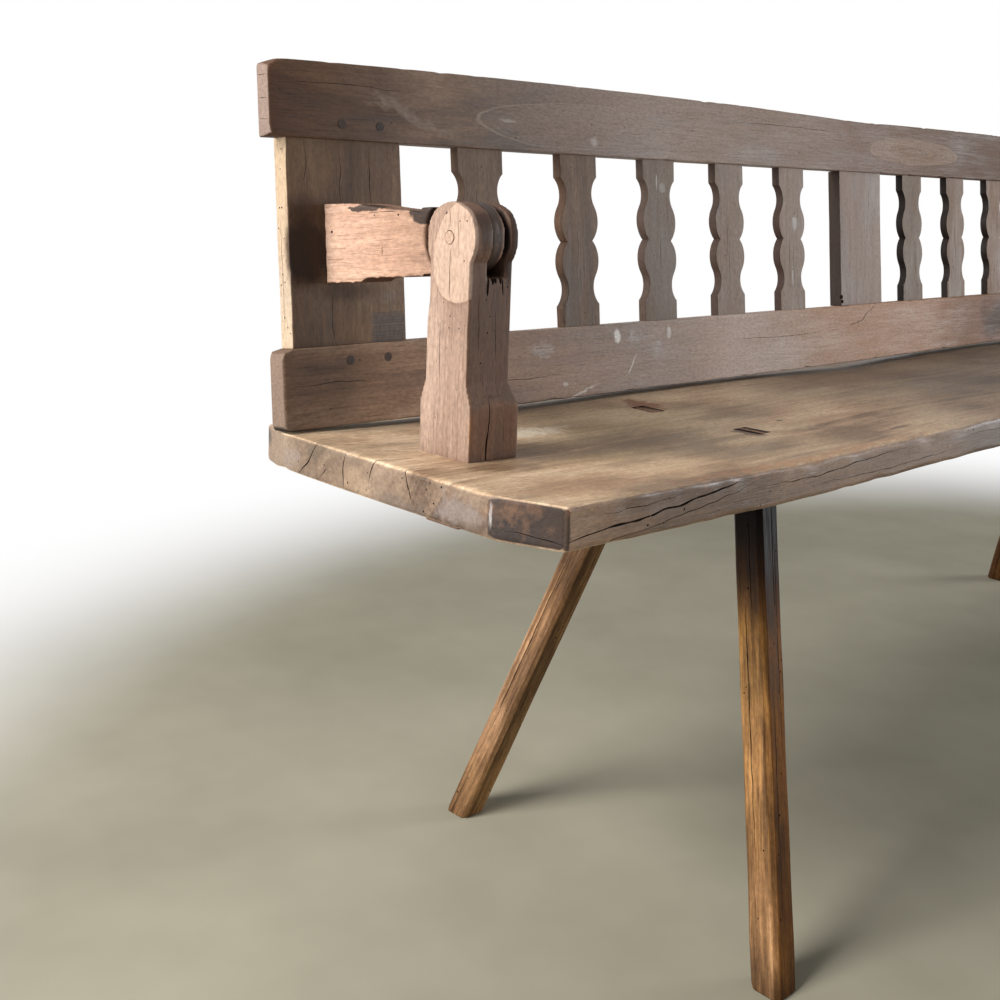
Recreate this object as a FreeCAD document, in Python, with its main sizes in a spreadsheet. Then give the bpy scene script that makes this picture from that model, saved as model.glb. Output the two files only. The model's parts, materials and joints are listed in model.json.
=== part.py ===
import FreeCAD, Part
import os
import re
import Sketcher

# Wooden monks bench.
# A plank seat stands on four splayed legs. Two slotted posts stand in the seat, and a slatted
# back hangs between them on two arms, so that it swings over the seat from one long side to
# the other.
# Sizes are in millimetres and degrees. X runs along the bench, -Y is the front and +Z is up.
# The origin is on the floor under the middle of the seat.
# The back's pieces are drawn about the pivot axis: X along the bench, Y from the axis towards
# the back, Z up the back. Their placement then leans them by the rake.

SIZES = {
    # Seat plank
    "seat_length": 1865,
    "seat_width": 353,
    "seat_thick": 33,
    "seat_height": 460,
    "seat_lift": 9,
    "seat_lift_run": 332,
    "front_clip_along": 23,
    "front_clip_across": 54,
    "rear_clip_along": 11,
    "rear_clip_across": 37,
    # Legs, each on a straight line from its foot to its head under the seat
    "leg_head_inset": 389.5,
    "leg_foot_inset": 282.5,
    "leg_head_apart": 148,
    "leg_foot_apart": 396,
    "leg_head_size": 33,
    "leg_foot_size": 31,
    "leg_arris": 5,
    "leg_tenon_along": 20,
    "leg_tenon_across": 30,
    "leg_wedge_head": 3.2,
    "leg_wedge_tip": 1,
    "leg_wedge_depth": 22,
    # Posts
    "post_inset": 62.5,
    "post_foot_thick": 54,
    "post_foot_width": 62,
    "post_foot_height": 45,
    "post_foot_taper": 18,
    "post_thick": 47,
    "post_width": 50,
    "post_head_radius": 31,
    "post_bed_depth": 0.5,
    "outer_cheek": 19.5,
    "slot_width": 20,
    "slot_floor_gap": 3,
    "post_tenon_thick": 32,
    "post_tenon_width": 40,
    "post_tenon_drop": 27,
    "post_wedge_head": 4,
    "post_wedge_tip": 1.5,
    "post_wedge_depth": 22,
    # Pivot
    "pin_diameter": 10,
    "pin_clearance": 0.05,
    # Back
    "rake": 5.33,
    "back_reach": 140,
    "back_height": 317,
    "back_rest_gap": 0.3,
    "top_rail_height": 68.5,
    "top_rail_thick": 18,
    "top_rail_overhang": 9,
    "top_rail_end_drop": 2.5,
    "top_rail_hump": 3.5,
    "lower_rail_height": 70.5,
    "lower_rail_thick": 21.5,
    "lower_rail_overhang": 5,
    "lower_rail_bow": 6,
    "stile_thick": 18,
    "stile_setback": 3.5,
    "end_stile_width": 125.5,
    "end_stile_inset": 7.8,
    "centre_stile_width": 107,
    "stile_tenon_shoulder": 10,
    "stile_tenon_thick": 8,
    "stile_tenon_setback": 5,
    "stile_tenon_depth": 34,
    # Splats, an even set in each half of the back
    "splats_in_set": 5,
    "splat_width": 56.5,
    "splat_thick": 10.5,
    "splat_setback": 5.5,
    "splat_stub": 10,
    "splat_waist": 40,
    "splat_cusp": 48.6,
    "splat_belly": 58,
    "splat_notch": 40,
    "splat_block_level": 67,
    "splat_waist_level": 50,
    "splat_cusp_level": 36,
    "splat_belly_level": 21,
    "splat_end_extra": 5,
    "first_splat_extra": 4,
    "first_splat_shift": -7,
    "left_set_shift": -1.7,
    "right_set_shift": -17.6,
    # Arms
    "arm_set_in": 2,
    "arm_flare": 18,
    "arm_end_thick": 35,
    "arm_shoulder_gap": 2.5,
    "arm_top_head": 25.5,
    "arm_top_end": 35,
    "arm_top_rise_from": 60,
    "arm_top_rise_to": 106,
    "arm_top_rise_level": 33,
    "arm_step_from": 97,
    "arm_step_to": 104,
    "arm_bottom_end": 32,
    "tongue_radius": 28.5,
    "tongue_thick": 14.5,
    "tongue_gap": 0.5,
    "arm_tenon_thick": 15,
    "arm_tenon_height": 40,
    "arm_wedge_head": 3,
    "arm_wedge_tip": 1,
    "arm_wedge_depth": 13,
    # Pegs through the end stiles' tenons
    "peg_diameter": 8,
    "peg_outer_inset": 58,
    "peg_pitch": 42,
    "peg_edge": 14,
    # Clearances
    "joint_gap": 0.1,
    "cut_margin": 5,
}

# Levels and distances that follow from the sizes
DERIVED = {
    "seat_end": "seat_length / 2",
    "seat_straight": "seat_length / 2 - seat_lift_run",
    "seat_low": "seat_height - seat_lift",
    "seat_under": "seat_height - seat_lift - seat_thick",
    "lift_radius": "(seat_lift_run ^ 2 + seat_lift ^ 2) / (2 * seat_lift)",
    "lift_middle": "lift_radius - sqrt(lift_radius ^ 2 - (seat_lift_run / 2) ^ 2)",
    "post_outer": "seat_end - post_inset",
    "post_foot_inner": "post_outer - post_foot_thick",
    "post_foot_run": "max(0; post_foot_inner - seat_straight)",
    "post_foot_lift": "lift_radius - sqrt(lift_radius ^ 2 - post_foot_run ^ 2)",
    "post_bed": "seat_low + post_foot_lift - post_bed_depth",
    "post_foot_top": "post_bed + post_foot_height",
    "post_tenon_end": "seat_height - seat_thick - post_tenon_drop",
    "post_tenon_middle": "post_outer - post_tenon_thick / 2",
    "head_drop": "sqrt(post_head_radius ^ 2 - (post_width / 2) ^ 2)",
    "pivot_level": (
        "seat_height + back_rest_gap + back_height / 2 * cos(rake)"
        " + (back_reach + lower_rail_thick) * sin(rake)"
    ),
    "head_top": "pivot_level + post_head_radius",
    "slot_outer": "post_outer - outer_cheek",
    "slot_floor": "pivot_level - tongue_radius - slot_floor_gap",
    "tongue_outer": "slot_outer - tongue_gap",
    "tongue_inner": "tongue_outer - tongue_thick",
    "arm_outer_head": "post_outer - arm_set_in",
    "arm_outer_end": "arm_outer_head + arm_flare",
    "arm_shoulder": "post_head_radius + arm_shoulder_gap",
    "arm_tenon_middle": "arm_outer_end - arm_end_thick / 2",
    "half_back": "back_height / 2",
    "top_rail_under": "half_back - top_rail_height",
    "lower_rail_over": "lower_rail_height - half_back",
    "stile_front": "back_reach + stile_setback",
    "stile_rear": "stile_front + stile_thick",
    "tenon_middle": "back_reach + stile_tenon_setback + stile_tenon_thick / 2",
    "end_stile_outer": "seat_end - end_stile_inset",
    "end_stile_inner": "end_stile_outer - end_stile_width",
    "end_stile_middle": "end_stile_outer - end_stile_width / 2",
    "splat_middle": "back_reach + splat_setback + splat_thick / 2",
    "splat_centre": "(top_rail_under + lower_rail_over) / 2",
    "splat_end": "(top_rail_under - lower_rail_over) / 2 + splat_stub",
    "splat_gap": (
        "(end_stile_inner - centre_stile_width / 2 - splats_in_set * splat_width"
        " - 2 * splat_end_extra) / (splats_in_set + 1)"
    ),
}
SPLATS_IN_SET = SIZES["splats_in_set"]
SIDES = {"left": -1, "right": 1}
ENDS = {"front": -1, "rear": 1}

doc = FreeCAD.newDocument("monks_bench")
sheet = doc.addObject("Spreadsheet::Sheet", "Sizes")
for row, (alias, size) in enumerate(SIZES.items(), start=1):
    sheet.set(f"A{row}", alias)
    sheet.set(f"B{row}", str(size))
    sheet.setAlias(f"B{row}", alias)
doc.recompute()


def formula(text):
    """Write a plain formula as an expression on the sheet's cells."""
    def swap(found):
        word = found.group(0)
        if word in DERIVED:
            return "(" + formula(DERIVED[word]) + ")"
        return "Sizes." + word if word in SIZES else word
    return re.sub(r"[a-z_]+", swap, text)


def value(text):
    """The present value of a formula."""
    result = sheet.evalExpression(formula(text))
    return float(getattr(result, "Value", result))


def mirrored(side, text):
    return f"{side} * ({text})"


def rectangle(left, right, low, high):
    return [(left, low), (right, low), (right, high), (left, high)]


def centred(middle, width, low, high):
    return rectangle(f"{middle} - ({width}) / 2", f"{middle} + ({width}) / 2", low, high)


def new_body(label, leaning=False):
    """A named piece. A leaning one belongs to the back and turns about the pivot axis."""
    body = doc.addObject("PartDesign::Body", label)
    body.Label = label
    if leaning:
        body.Placement.Rotation = FreeCAD.Rotation(FreeCAD.Vector(-1, 0, 0), SIZES["rake"])
        body.setExpression("Placement.Rotation.Angle", formula("rake * 1 deg"))
        body.setExpression("Placement.Base.z", formula("pivot_level"))
    return body


def new_sketch(body, role, level):
    """An empty sketch on one of the body's own planes, moved along the plane's normal."""
    sketch = body.newObject("Sketcher::SketchObject", body.Label + "_sketch")
    plane = next(item for item in body.Origin.OriginFeatures if item.Role == role)
    sketch.AttachmentSupport = [(plane, "")]
    sketch.MapMode = "FlatFace"
    sketch.setExpression("AttachmentOffset.Base.z", formula(level))
    return sketch


def hold(sketch, geometry, vertex, point):
    """Dimension one vertex from the sketch's origin."""
    for kind, text in zip(("DistanceX", "DistanceY"), point):
        constraint = Sketcher.Constraint(kind, -1, 1, geometry, vertex, value(text))
        number = sketch.addConstraint(constraint)
        sketch.setExpression(f"Constraints[{number}]", formula(text))


def add_outline(sketch, corners):
    """Draw a closed outline. A corner's optional third item is a point that the arc leaving
    the corner passes through; without it a straight edge leaves the corner."""
    spots = [FreeCAD.Vector(value(corner[0]), value(corner[1]), 0) for corner in corners]
    ends = []
    for index, corner in enumerate(corners):
        start, finish = spots[index], spots[(index + 1) % len(spots)]
        if len(corner) == 2:
            edge = sketch.addGeometry(Part.LineSegment(start, finish))
            ends.append((edge, 1, 2))
            continue
        middle = FreeCAD.Vector(value(corner[2][0]), value(corner[2][1]), 0)
        turns_left = (middle - start).cross(finish - middle).z > 0
        first, last = (start, finish) if turns_left else (finish, start)
        edge = sketch.addGeometry(Part.Arc(first, middle, last))
        ends.append((edge, 1, 2) if turns_left else (edge, 2, 1))
        through = sketch.addGeometry(Part.Point(middle), True)
        sketch.addConstraint(Sketcher.Constraint("PointOnObject", through, 1, edge))
        hold(sketch, through, 1, corner[2])
    for index, corner in enumerate(corners):
        edge, start_vertex, _ = ends[index]
        before, _, end_vertex = ends[index - 1]
        sketch.addConstraint(
            Sketcher.Constraint("Coincident", before, end_vertex, edge, start_vertex)
        )
        hold(sketch, edge, start_vertex, corner)


def add_circle(sketch, centre, diameter):
    spot = FreeCAD.Vector(value(centre[0]), value(centre[1]), 0)
    radius = value(diameter) / 2
    circle = sketch.addGeometry(Part.Circle(spot, FreeCAD.Vector(0, 0, 1), radius))
    hold(sketch, circle, 3, centre)
    number = sketch.addConstraint(Sketcher.Constraint("Diameter", circle, 2 * radius))
    sketch.setExpression(f"Constraints[{number}]", formula(diameter))


def outline_sketch(body, role, level, *outlines):
    sketch = new_sketch(body, role, level)
    for corners in outlines:
        add_outline(sketch, corners)
    return sketch


def circle_sketch(body, role, level, centres, diameter):
    sketch = new_sketch(body, role, level)
    for centre in centres:
        add_circle(sketch, centre, diameter)
    return sketch


def pad(body, sketch, length):
    """Add material on both sides of the sketch."""
    feature = body.newObject("PartDesign::Pad", body.Label + "_pad")
    feature.Profile = sketch
    feature.SideType = "Symmetric"
    feature.setExpression("Length", formula(length))
    return feature


def pocket(body, sketch, length=None):
    """Cut on both sides of the sketch, through everything where no length is given."""
    feature = body.newObject("PartDesign::Pocket", body.Label + "_pocket")
    feature.Profile = sketch
    feature.SideType = "Symmetric"
    if length:
        feature.setExpression("Length", formula(length))
    else:
        feature.Type = "ThroughAll"
    return feature


def loft(body, kind, lower, upper):
    """Join two level sketches with flat sides, adding to or cutting from the body."""
    feature = body.newObject("PartDesign::" + kind, body.Label + "_loft")
    feature.Profile = lower
    feature.Sections = [upper]
    feature.Ruled = True
    return feature


# Seat plank

def leg_spot(side, end, level):
    """Where a leg's centre line is at a level, from its foot and head places."""
    along = (
        f"(seat_end - leg_foot_inset"
        f" + (leg_foot_inset - leg_head_inset) * ({level}) / seat_under)"
    )
    across = (
        f"(leg_foot_apart / 2 + (leg_head_apart - leg_foot_apart) / 2 * ({level}) / seat_under)"
    )
    return mirrored(side, along), mirrored(end, across)


def leg_rectangle(side, end, level, along, across):
    x, y = leg_spot(side, end, level)
    return rectangle(
        f"{x} - ({along}) / 2", f"{x} + ({along}) / 2", f"{y} - ({across}) / 2", f"{y} + ({across}) / 2"
    )


def seat_side_profile():
    """The plank from the front: straight in the middle, lifted in an arc towards each end."""
    rise = "seat_end - seat_lift_run / 2"
    fall = f"-({rise})"
    top_arc = "seat_low + lift_middle"
    under_arc = "seat_under + lift_middle"
    return [
        ("-seat_end", "seat_height", (fall, top_arc)),
        ("-seat_straight", "seat_low"),
        ("seat_straight", "seat_low", (rise, top_arc)),
        ("seat_end", "seat_height"),
        ("seat_end", "seat_height - seat_thick", (rise, under_arc)),
        ("seat_straight", "seat_under"),
        ("-seat_straight", "seat_under", (fall, under_arc)),
        ("-seat_end", "seat_height - seat_thick"),
    ]


def corner_clip(side, end):
    """The triangle that clips one corner of the plank."""
    name = "front" if end < 0 else "rear"
    return [
        (mirrored(side, f"seat_end - {name}_clip_along"), mirrored(end, "seat_width / 2")),
        (mirrored(side, "seat_end + cut_margin"), mirrored(end, "seat_width / 2 + cut_margin")),
        (mirrored(side, "seat_end"), mirrored(end, f"seat_width / 2 - {name}_clip_across")),
    ]


def post_rectangle(side, thick, width):
    """A post's rectangle from above, flush with its outer face."""
    return rectangle(
        mirrored(side, "post_outer"), mirrored(side, f"post_outer - ({thick})"),
        f"-({width}) / 2", f"({width}) / 2",
    )


def make_seat_plank():
    body = new_body("seat_plank")
    pad(body, outline_sketch(body, "XZ_Plane", "0", seat_side_profile()), "seat_width")
    clips = [corner_clip(side, end) for side in SIDES.values() for end in ENDS.values()]
    pocket(body, outline_sketch(body, "XY_Plane", "seat_height", *clips))
    beds = [post_rectangle(side, "post_foot_thick", "post_foot_width") for side in SIDES.values()]
    bed_sketch = outline_sketch(body, "XY_Plane", "post_bed + seat_lift", *beds)
    pocket(body, bed_sketch, "2 * seat_lift")
    mortises = [
        post_rectangle(side, "post_tenon_thick", "post_tenon_width") for side in SIDES.values()
    ]
    pocket(body, outline_sketch(body, "XY_Plane", "seat_height", *mortises))
    for side in SIDES.values():
        for end in ENDS.values():
            cuts = []
            for level in ("seat_under - cut_margin", "seat_low + cut_margin"):
                corners = leg_rectangle(side, end, level, "leg_tenon_along", "leg_tenon_across")
                cuts.append(outline_sketch(body, "XY_Plane", level, corners))
            loft(body, "SubtractiveLoft", *cuts)
    return body


# Legs and their wedges

def leg_octagon(side, end, level, size):
    """A square section with its corners taken off."""
    x, y = leg_spot(side, end, level)
    far = f"({size}) / 2"
    near = f"(({size}) / 2 - leg_arris)"
    steps = [(near, far), (far, near)]
    corners = []
    for sign_x, sign_y in ((1, 1), (1, -1), (-1, -1), (-1, 1)):
        pair = steps if sign_x == sign_y else steps[::-1]
        corners += [(f"{x} + {sign_x} * {a}", f"{y} + {sign_y} * {b}") for a, b in pair]
    return corners


def wedge_sections(body, side, end, extra):
    """The tip and head outlines of a leg's wedge, wider across by the extra at each side."""
    across = f"leg_tenon_across + 2 * {extra}"
    tip_level = "seat_low - leg_wedge_depth"
    tip = leg_rectangle(side, end, tip_level, "leg_wedge_tip", across)
    head = leg_rectangle(side, end, "seat_low", "leg_wedge_head", across)
    return (
        outline_sketch(body, "XY_Plane", tip_level, tip),
        outline_sketch(body, "XY_Plane", "seat_low", head),
    )


def make_leg(side_name, end_name):
    side, end = SIDES[side_name], ENDS[end_name]
    body = new_body(f"leg_{end_name}_{side_name}")
    foot = outline_sketch(body, "XY_Plane", "0", leg_octagon(side, end, "0", "leg_foot_size"))
    head_corners = leg_octagon(side, end, "seat_under", "leg_head_size")
    loft(body, "AdditiveLoft", foot, outline_sketch(body, "XY_Plane", "seat_under", head_corners))
    ends = []
    for level in ("seat_under", "seat_low"):
        tenon = leg_rectangle(
            side, end, level, "leg_tenon_along - 2 * joint_gap", "leg_tenon_across - 2 * joint_gap"
        )
        ends.append(outline_sketch(body, "XY_Plane", level, tenon))
    loft(body, "AdditiveLoft", *ends)
    loft(body, "SubtractiveLoft", *wedge_sections(body, side, end, "joint_gap"))
    return body


def make_leg_wedge(side_name, end_name):
    body = new_body(f"leg_wedge_{end_name}_{side_name}")
    side, end = SIDES[side_name], ENDS[end_name]
    loft(body, "AdditiveLoft", *wedge_sections(body, side, end, "(-joint_gap)"))
    return body


# Posts, their wedges and the pivot pins

def post_profile():
    """The post from the end: a wider foot, a straight shaft and a round head."""
    return [
        ("-post_foot_width / 2", "post_bed"),
        ("post_foot_width / 2", "post_bed"),
        ("post_foot_width / 2", "post_foot_top"),
        ("post_width / 2", "post_foot_top + post_foot_taper"),
        ("post_width / 2", "pivot_level - head_drop", ("0", "head_top")),
        ("-post_width / 2", "pivot_level - head_drop"),
        ("-post_width / 2", "post_foot_top + post_foot_taper"),
        ("-post_foot_width / 2", "post_foot_top"),
    ]


def post_inner_waste(side):
    """What is cut from the inner face above the foot."""
    return [
        (mirrored(side, "post_foot_inner"), "post_foot_top"),
        (mirrored(side, "post_outer - post_thick"), "post_foot_top + post_foot_taper"),
        (mirrored(side, "post_outer - post_thick"), "head_top + cut_margin"),
        (mirrored(side, "post_foot_inner - cut_margin"), "head_top + cut_margin"),
        (mirrored(side, "post_foot_inner - cut_margin"), "post_foot_top"),
    ]


def post_slot(side):
    return rectangle(
        mirrored(side, "slot_outer"), mirrored(side, "slot_outer - slot_width"),
        "slot_floor", "head_top + cut_margin",
    )


def post_wedge_profile(side, gap):
    """The wedge in the foot of a post's tenon, from the front."""
    middle = mirrored(side, "post_tenon_middle")
    tip_level = "post_tenon_end + post_wedge_depth"
    return [
        (f"{middle} - post_wedge_head / 2 - {gap}", "post_tenon_end"),
        (f"{middle} + post_wedge_head / 2 + {gap}", "post_tenon_end"),
        (f"{middle} + post_wedge_tip / 2 + {gap}", f"{tip_level} + {gap}"),
        (f"{middle} - post_wedge_tip / 2 - {gap}", f"{tip_level} + {gap}"),
    ]


def make_post(name):
    side = SIDES[name]
    body = new_body(f"{name}_post")
    middle = mirrored(side, "post_outer - post_foot_thick / 2")
    pad(body, outline_sketch(body, "YZ_Plane", middle, post_profile()), "post_foot_thick")
    tenon = rectangle(
        mirrored(side, "post_outer - joint_gap"),
        mirrored(side, "post_outer - post_tenon_thick + joint_gap"),
        "joint_gap - post_tenon_width / 2", "post_tenon_width / 2 - joint_gap",
    )
    tenon_level = "(post_bed + post_tenon_end) / 2"
    pad(body, outline_sketch(body, "XY_Plane", tenon_level, tenon), "post_bed - post_tenon_end")
    pocket(body, outline_sketch(body, "XZ_Plane", "0", post_inner_waste(side)))
    pocket(body, outline_sketch(body, "XZ_Plane", "0", post_slot(side)))
    pocket(body, outline_sketch(body, "XZ_Plane", "0", post_wedge_profile(side, "joint_gap")))
    bore = "pin_diameter + 2 * pin_clearance"
    pocket(body, circle_sketch(body, "YZ_Plane", middle, [("0", "pivot_level")], bore))
    return body


def make_post_wedge(name):
    body = new_body(f"{name}_post_wedge")
    sketch = outline_sketch(body, "XZ_Plane", "0", post_wedge_profile(SIDES[name], "0"))
    pad(body, sketch, "post_tenon_width - 2 * joint_gap")
    return body


def make_pivot_pin(name):
    body = new_body(f"{name}_pivot_pin")
    middle = mirrored(SIDES[name], "post_outer - post_thick / 2")
    sketch = circle_sketch(body, "YZ_Plane", middle, [("0", "pivot_level")], "pin_diameter")
    pad(body, sketch, "post_thick")
    return body


# Back rails, stiles and pegs

def splat_place(index):
    """A splat's middle along the back: one even set in each half, moved by its own shift."""
    in_set = index % SPLATS_IN_SET
    step = f"splat_end_extra + splat_gap + splat_width / 2 + {in_set} * (splat_gap + splat_width)"
    if index == 0:
        return f"(left_set_shift + first_splat_shift - end_stile_inner + {step})"
    if index < SPLATS_IN_SET:
        return f"(left_set_shift - end_stile_inner + {step})"
    return f"(right_set_shift + centre_stile_width / 2 + {step})"


def splat_extra(index):
    """How much wider than the rest a splat is: only the first one differs."""
    return "first_splat_extra" if index == 0 else "0"


def stile_places():
    """The three stiles: middle along the back and width."""
    return [
        ("(-end_stile_middle)", "end_stile_width"),
        ("0", "centre_stile_width"),
        ("end_stile_middle", "end_stile_width"),
    ]


def peg_centres(level):
    """Two pegs through each end stile's tenon at one level."""
    outer = "end_stile_outer - peg_outer_inset"
    return [
        (mirrored(side, f"{outer} - {step}"), level)
        for side in SIDES.values()
        for step in ("0", "peg_pitch")
    ]


PEG_LEVELS = {"top_rail": "top_rail_under + peg_edge", "lower_rail": "lower_rail_over - peg_edge"}
PEG_BORE = "peg_diameter + 2 * joint_gap"


def cut_rail(body, rail, edge):
    """Mortises for the stiles and splats in a rail's inner edge, and its peg holes."""
    tenon_cuts = [
        centred(
            middle, f"{width} - 2 * stile_tenon_shoulder",
            "tenon_middle - stile_tenon_thick / 2", "tenon_middle + stile_tenon_thick / 2",
        )
        for middle, width in stile_places()
    ]
    pocket(body, outline_sketch(body, "XY_Plane", edge, *tenon_cuts), "2 * stile_tenon_depth")
    splat_cuts = [
        centred(
            splat_place(index), f"(splat_width + {splat_extra(index)})",
            "splat_middle - splat_thick / 2", "splat_middle + splat_thick / 2",
        )
        for index in range(2 * SPLATS_IN_SET)
    ]
    pocket(body, outline_sketch(body, "XY_Plane", edge, *splat_cuts), "2 * splat_stub")
    centres = peg_centres(PEG_LEVELS[rail])
    pocket(body, circle_sketch(body, "XZ_Plane", "-tenon_middle", centres, PEG_BORE))


def make_top_rail():
    body = new_body("top_rail", leaning=True)
    end = "(seat_end + top_rail_overhang)"
    hump = "half_back + top_rail_hump"
    profile = [
        (f"-{end}", "top_rail_under"),
        (end, "top_rail_under"),
        (end, "half_back - top_rail_end_drop", (f"{end} / 2", hump)),
        ("0", "half_back", (f"-{end} / 2", hump)),
        (f"-{end}", "half_back - top_rail_end_drop"),
    ]
    level = "-(back_reach + top_rail_thick / 2)"
    pad(body, outline_sketch(body, "XZ_Plane", level, profile), "top_rail_thick")
    cut_rail(body, "top_rail", "top_rail_under")
    return body


def make_lower_rail():
    body = new_body("lower_rail", leaning=True)
    end = "(seat_end + lower_rail_overhang)"
    profile = [
        (end, "lower_rail_over"),
        (f"-{end}", "lower_rail_over"),
        (f"-{end}", "-half_back", ("0", "-half_back - lower_rail_bow")),
        (end, "-half_back"),
    ]
    level = "-(back_reach + lower_rail_thick / 2)"
    pad(body, outline_sketch(body, "XZ_Plane", level, profile), "lower_rail_thick")
    cut_rail(body, "lower_rail", "lower_rail_over")
    return body


def make_stile(label, middle, width, side=None):
    """A stile with a tenon in each rail. An end stile also takes its arm's tenon and pegs."""
    body = new_body(label, leaning=True)
    level = "-(stile_front + stile_rear) / 2"
    face = centred(middle, width, "lower_rail_over", "top_rail_under")
    pad(body, outline_sketch(body, "XZ_Plane", level, face), "stile_thick")
    reach = "(stile_tenon_depth - joint_gap)"
    tenon = centred(
        middle, f"{width} - 2 * stile_tenon_shoulder - 2 * joint_gap",
        f"lower_rail_over - {reach}", f"top_rail_under + {reach}",
    )
    tenon_sketch = outline_sketch(body, "XZ_Plane", "-tenon_middle", tenon)
    pad(body, tenon_sketch, "stile_tenon_thick - 2 * joint_gap")
    if side is None:
        return body
    arm_cut = centred(
        mirrored(side, "arm_tenon_middle"), "arm_tenon_thick",
        "-arm_tenon_height / 2", "arm_tenon_height / 2",
    )
    pocket(body, outline_sketch(body, "XZ_Plane", level, arm_cut))
    for peg_level in PEG_LEVELS.values():
        centres = [spot for spot in peg_centres(peg_level) if spot[0].startswith(f"{side} *")]
        pocket(body, circle_sketch(body, "XZ_Plane", "-tenon_middle", centres, PEG_BORE))
    return body


def make_pegs(rail):
    """The four pegs of one rail, each as long as the rail is thick."""
    body = new_body(f"{rail}_pegs", leaning=True)
    body.AllowCompound = True
    level = f"-(back_reach + {rail}_thick / 2)"
    centres = peg_centres(PEG_LEVELS[rail])
    pad(body, circle_sketch(body, "XZ_Plane", level, centres, "peg_diameter"), f"{rail}_thick")
    return body


# Splats

def splat_outline(middle, extra):
    """A turned shape cut from a flat board, the same above and below its centre notch."""
    def edge(side):
        def point(width, level):
            return f"{middle} + {side} * ({width} + {extra}) / 2", f"splat_centre + {level}"
        return [
            point("splat_width", "splat_end"),
            (*point("splat_width", "splat_block_level"), point("splat_waist", "splat_waist_level")),
            (*point("splat_cusp", "splat_cusp_level"), point("splat_belly", "splat_belly_level")),
            (*point("splat_notch", "0"), point("splat_belly", "(-splat_belly_level)")),
            (*point("splat_cusp", "(-splat_cusp_level)"), point("splat_waist", "(-splat_waist_level)")),
            point("splat_width", "(-splat_block_level)"),
            point("splat_width", "(-splat_end)"),
        ]
    right = edge(1)
    left = edge(-1)
    climb = []
    for index in range(len(left) - 1, -1, -1):
        corner = left[index][:2]
        arc = left[index - 1][2:] if index > 0 else ()
        climb.append((*corner, *arc))
    return right + climb


def make_splat(index):
    body = new_body(f"splat_{index + 1}", leaning=True)
    outline = splat_outline(splat_place(index), splat_extra(index))
    sketch = outline_sketch(body, "XZ_Plane", "-splat_middle", outline)
    pad(body, sketch, "splat_thick - 2 * joint_gap")
    return body


# Arms and their wedges

def arm_plan(side):
    """The arm from above: a tongue for the post's slot, then a body that flares outwards."""
    start = "-(tongue_radius + cut_margin)"
    return [
        (mirrored(side, "tongue_outer"), start),
        (mirrored(side, "tongue_outer"), "arm_shoulder"),
        (mirrored(side, "arm_outer_head"), "arm_shoulder"),
        (mirrored(side, "arm_outer_end"), "stile_front"),
        (mirrored(side, "arm_outer_end - arm_end_thick"), "stile_front"),
        (mirrored(side, "tongue_inner"), "arm_shoulder"),
        (mirrored(side, "tongue_inner"), start),
    ]


def arm_side_profile():
    return [
        ("0", "tongue_radius", ("-tongue_radius", "0")),
        ("0", "-tongue_radius"),
        ("arm_step_from", "-tongue_radius"),
        ("arm_step_to", "-arm_bottom_end"),
        ("stile_front", "-arm_bottom_end"),
        ("stile_front", "arm_top_end"),
        ("arm_top_rise_to", "arm_top_rise_level"),
        ("arm_top_rise_from", "arm_top_head"),
        ("arm_shoulder", "arm_top_head"),
    ]


def arm_wedge_profile(gap):
    """The wedge in the end of an arm's tenon, from the side."""
    tip = f"stile_rear - arm_wedge_depth - {gap}"
    return [
        ("stile_rear", f"-arm_wedge_head / 2 - {gap}"),
        ("stile_rear", f"arm_wedge_head / 2 + {gap}"),
        (tip, f"arm_wedge_tip / 2 + {gap}"),
        (tip, f"-arm_wedge_tip / 2 - {gap}"),
    ]


def make_arm(name):
    side = SIDES[name]
    body = new_body(f"{name}_arm", leaning=True)
    blank = "2 * (arm_top_end + tongue_radius)"
    pad(body, outline_sketch(body, "XY_Plane", "0", arm_plan(side)), blank)
    waste = rectangle(
        "-(tongue_radius + 2 * cut_margin)", "stile_front + cut_margin",
        f"-({blank})", blank,
    )
    middle = mirrored(side, "arm_tenon_middle")
    pocket(body, outline_sketch(body, "YZ_Plane", middle, waste, arm_side_profile()))
    tenon = centred(
        middle, "arm_tenon_thick - 2 * joint_gap",
        "joint_gap - arm_tenon_height / 2", "arm_tenon_height / 2 - joint_gap",
    )
    level = "-(stile_front + stile_rear) / 2"
    pad(body, outline_sketch(body, "XZ_Plane", level, tenon), "stile_thick")
    pocket(body, outline_sketch(body, "YZ_Plane", middle, arm_wedge_profile("joint_gap")))
    bore = "pin_diameter + 2 * pin_clearance"
    pocket(body, circle_sketch(body, "YZ_Plane", middle, [("0", "0")], bore))
    return body


def make_arm_wedge(name):
    body = new_body(f"{name}_arm_wedge", leaning=True)
    middle = mirrored(SIDES[name], "arm_tenon_middle")
    sketch = outline_sketch(body, "YZ_Plane", middle, arm_wedge_profile("0"))
    pad(body, sketch, "arm_tenon_thick - 2 * joint_gap")
    return body


# All pieces

pieces = [make_seat_plank()]
for side_name in SIDES:
    for end_name in ENDS:
        pieces.append(make_leg(side_name, end_name))
        pieces.append(make_leg_wedge(side_name, end_name))
    pieces.append(make_post(side_name))
    pieces.append(make_post_wedge(side_name))
    pieces.append(make_pivot_pin(side_name))
    pieces.append(make_arm(side_name))
    pieces.append(make_arm_wedge(side_name))
pieces.append(make_top_rail())
pieces.append(make_lower_rail())
stile_names = ["left_end_stile", "centre_stile", "right_end_stile"]
for label, (middle, width), side in zip(stile_names, stile_places(), (-1, None, 1)):
    pieces.append(make_stile(label, middle, width, side))
for rail in PEG_LEVELS:
    pieces.append(make_pegs(rail))
for index in range(2 * SPLATS_IN_SET):
    pieces.append(make_splat(index))

doc.recompute()

# Every feature and every piece is checked before anything is written

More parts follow.
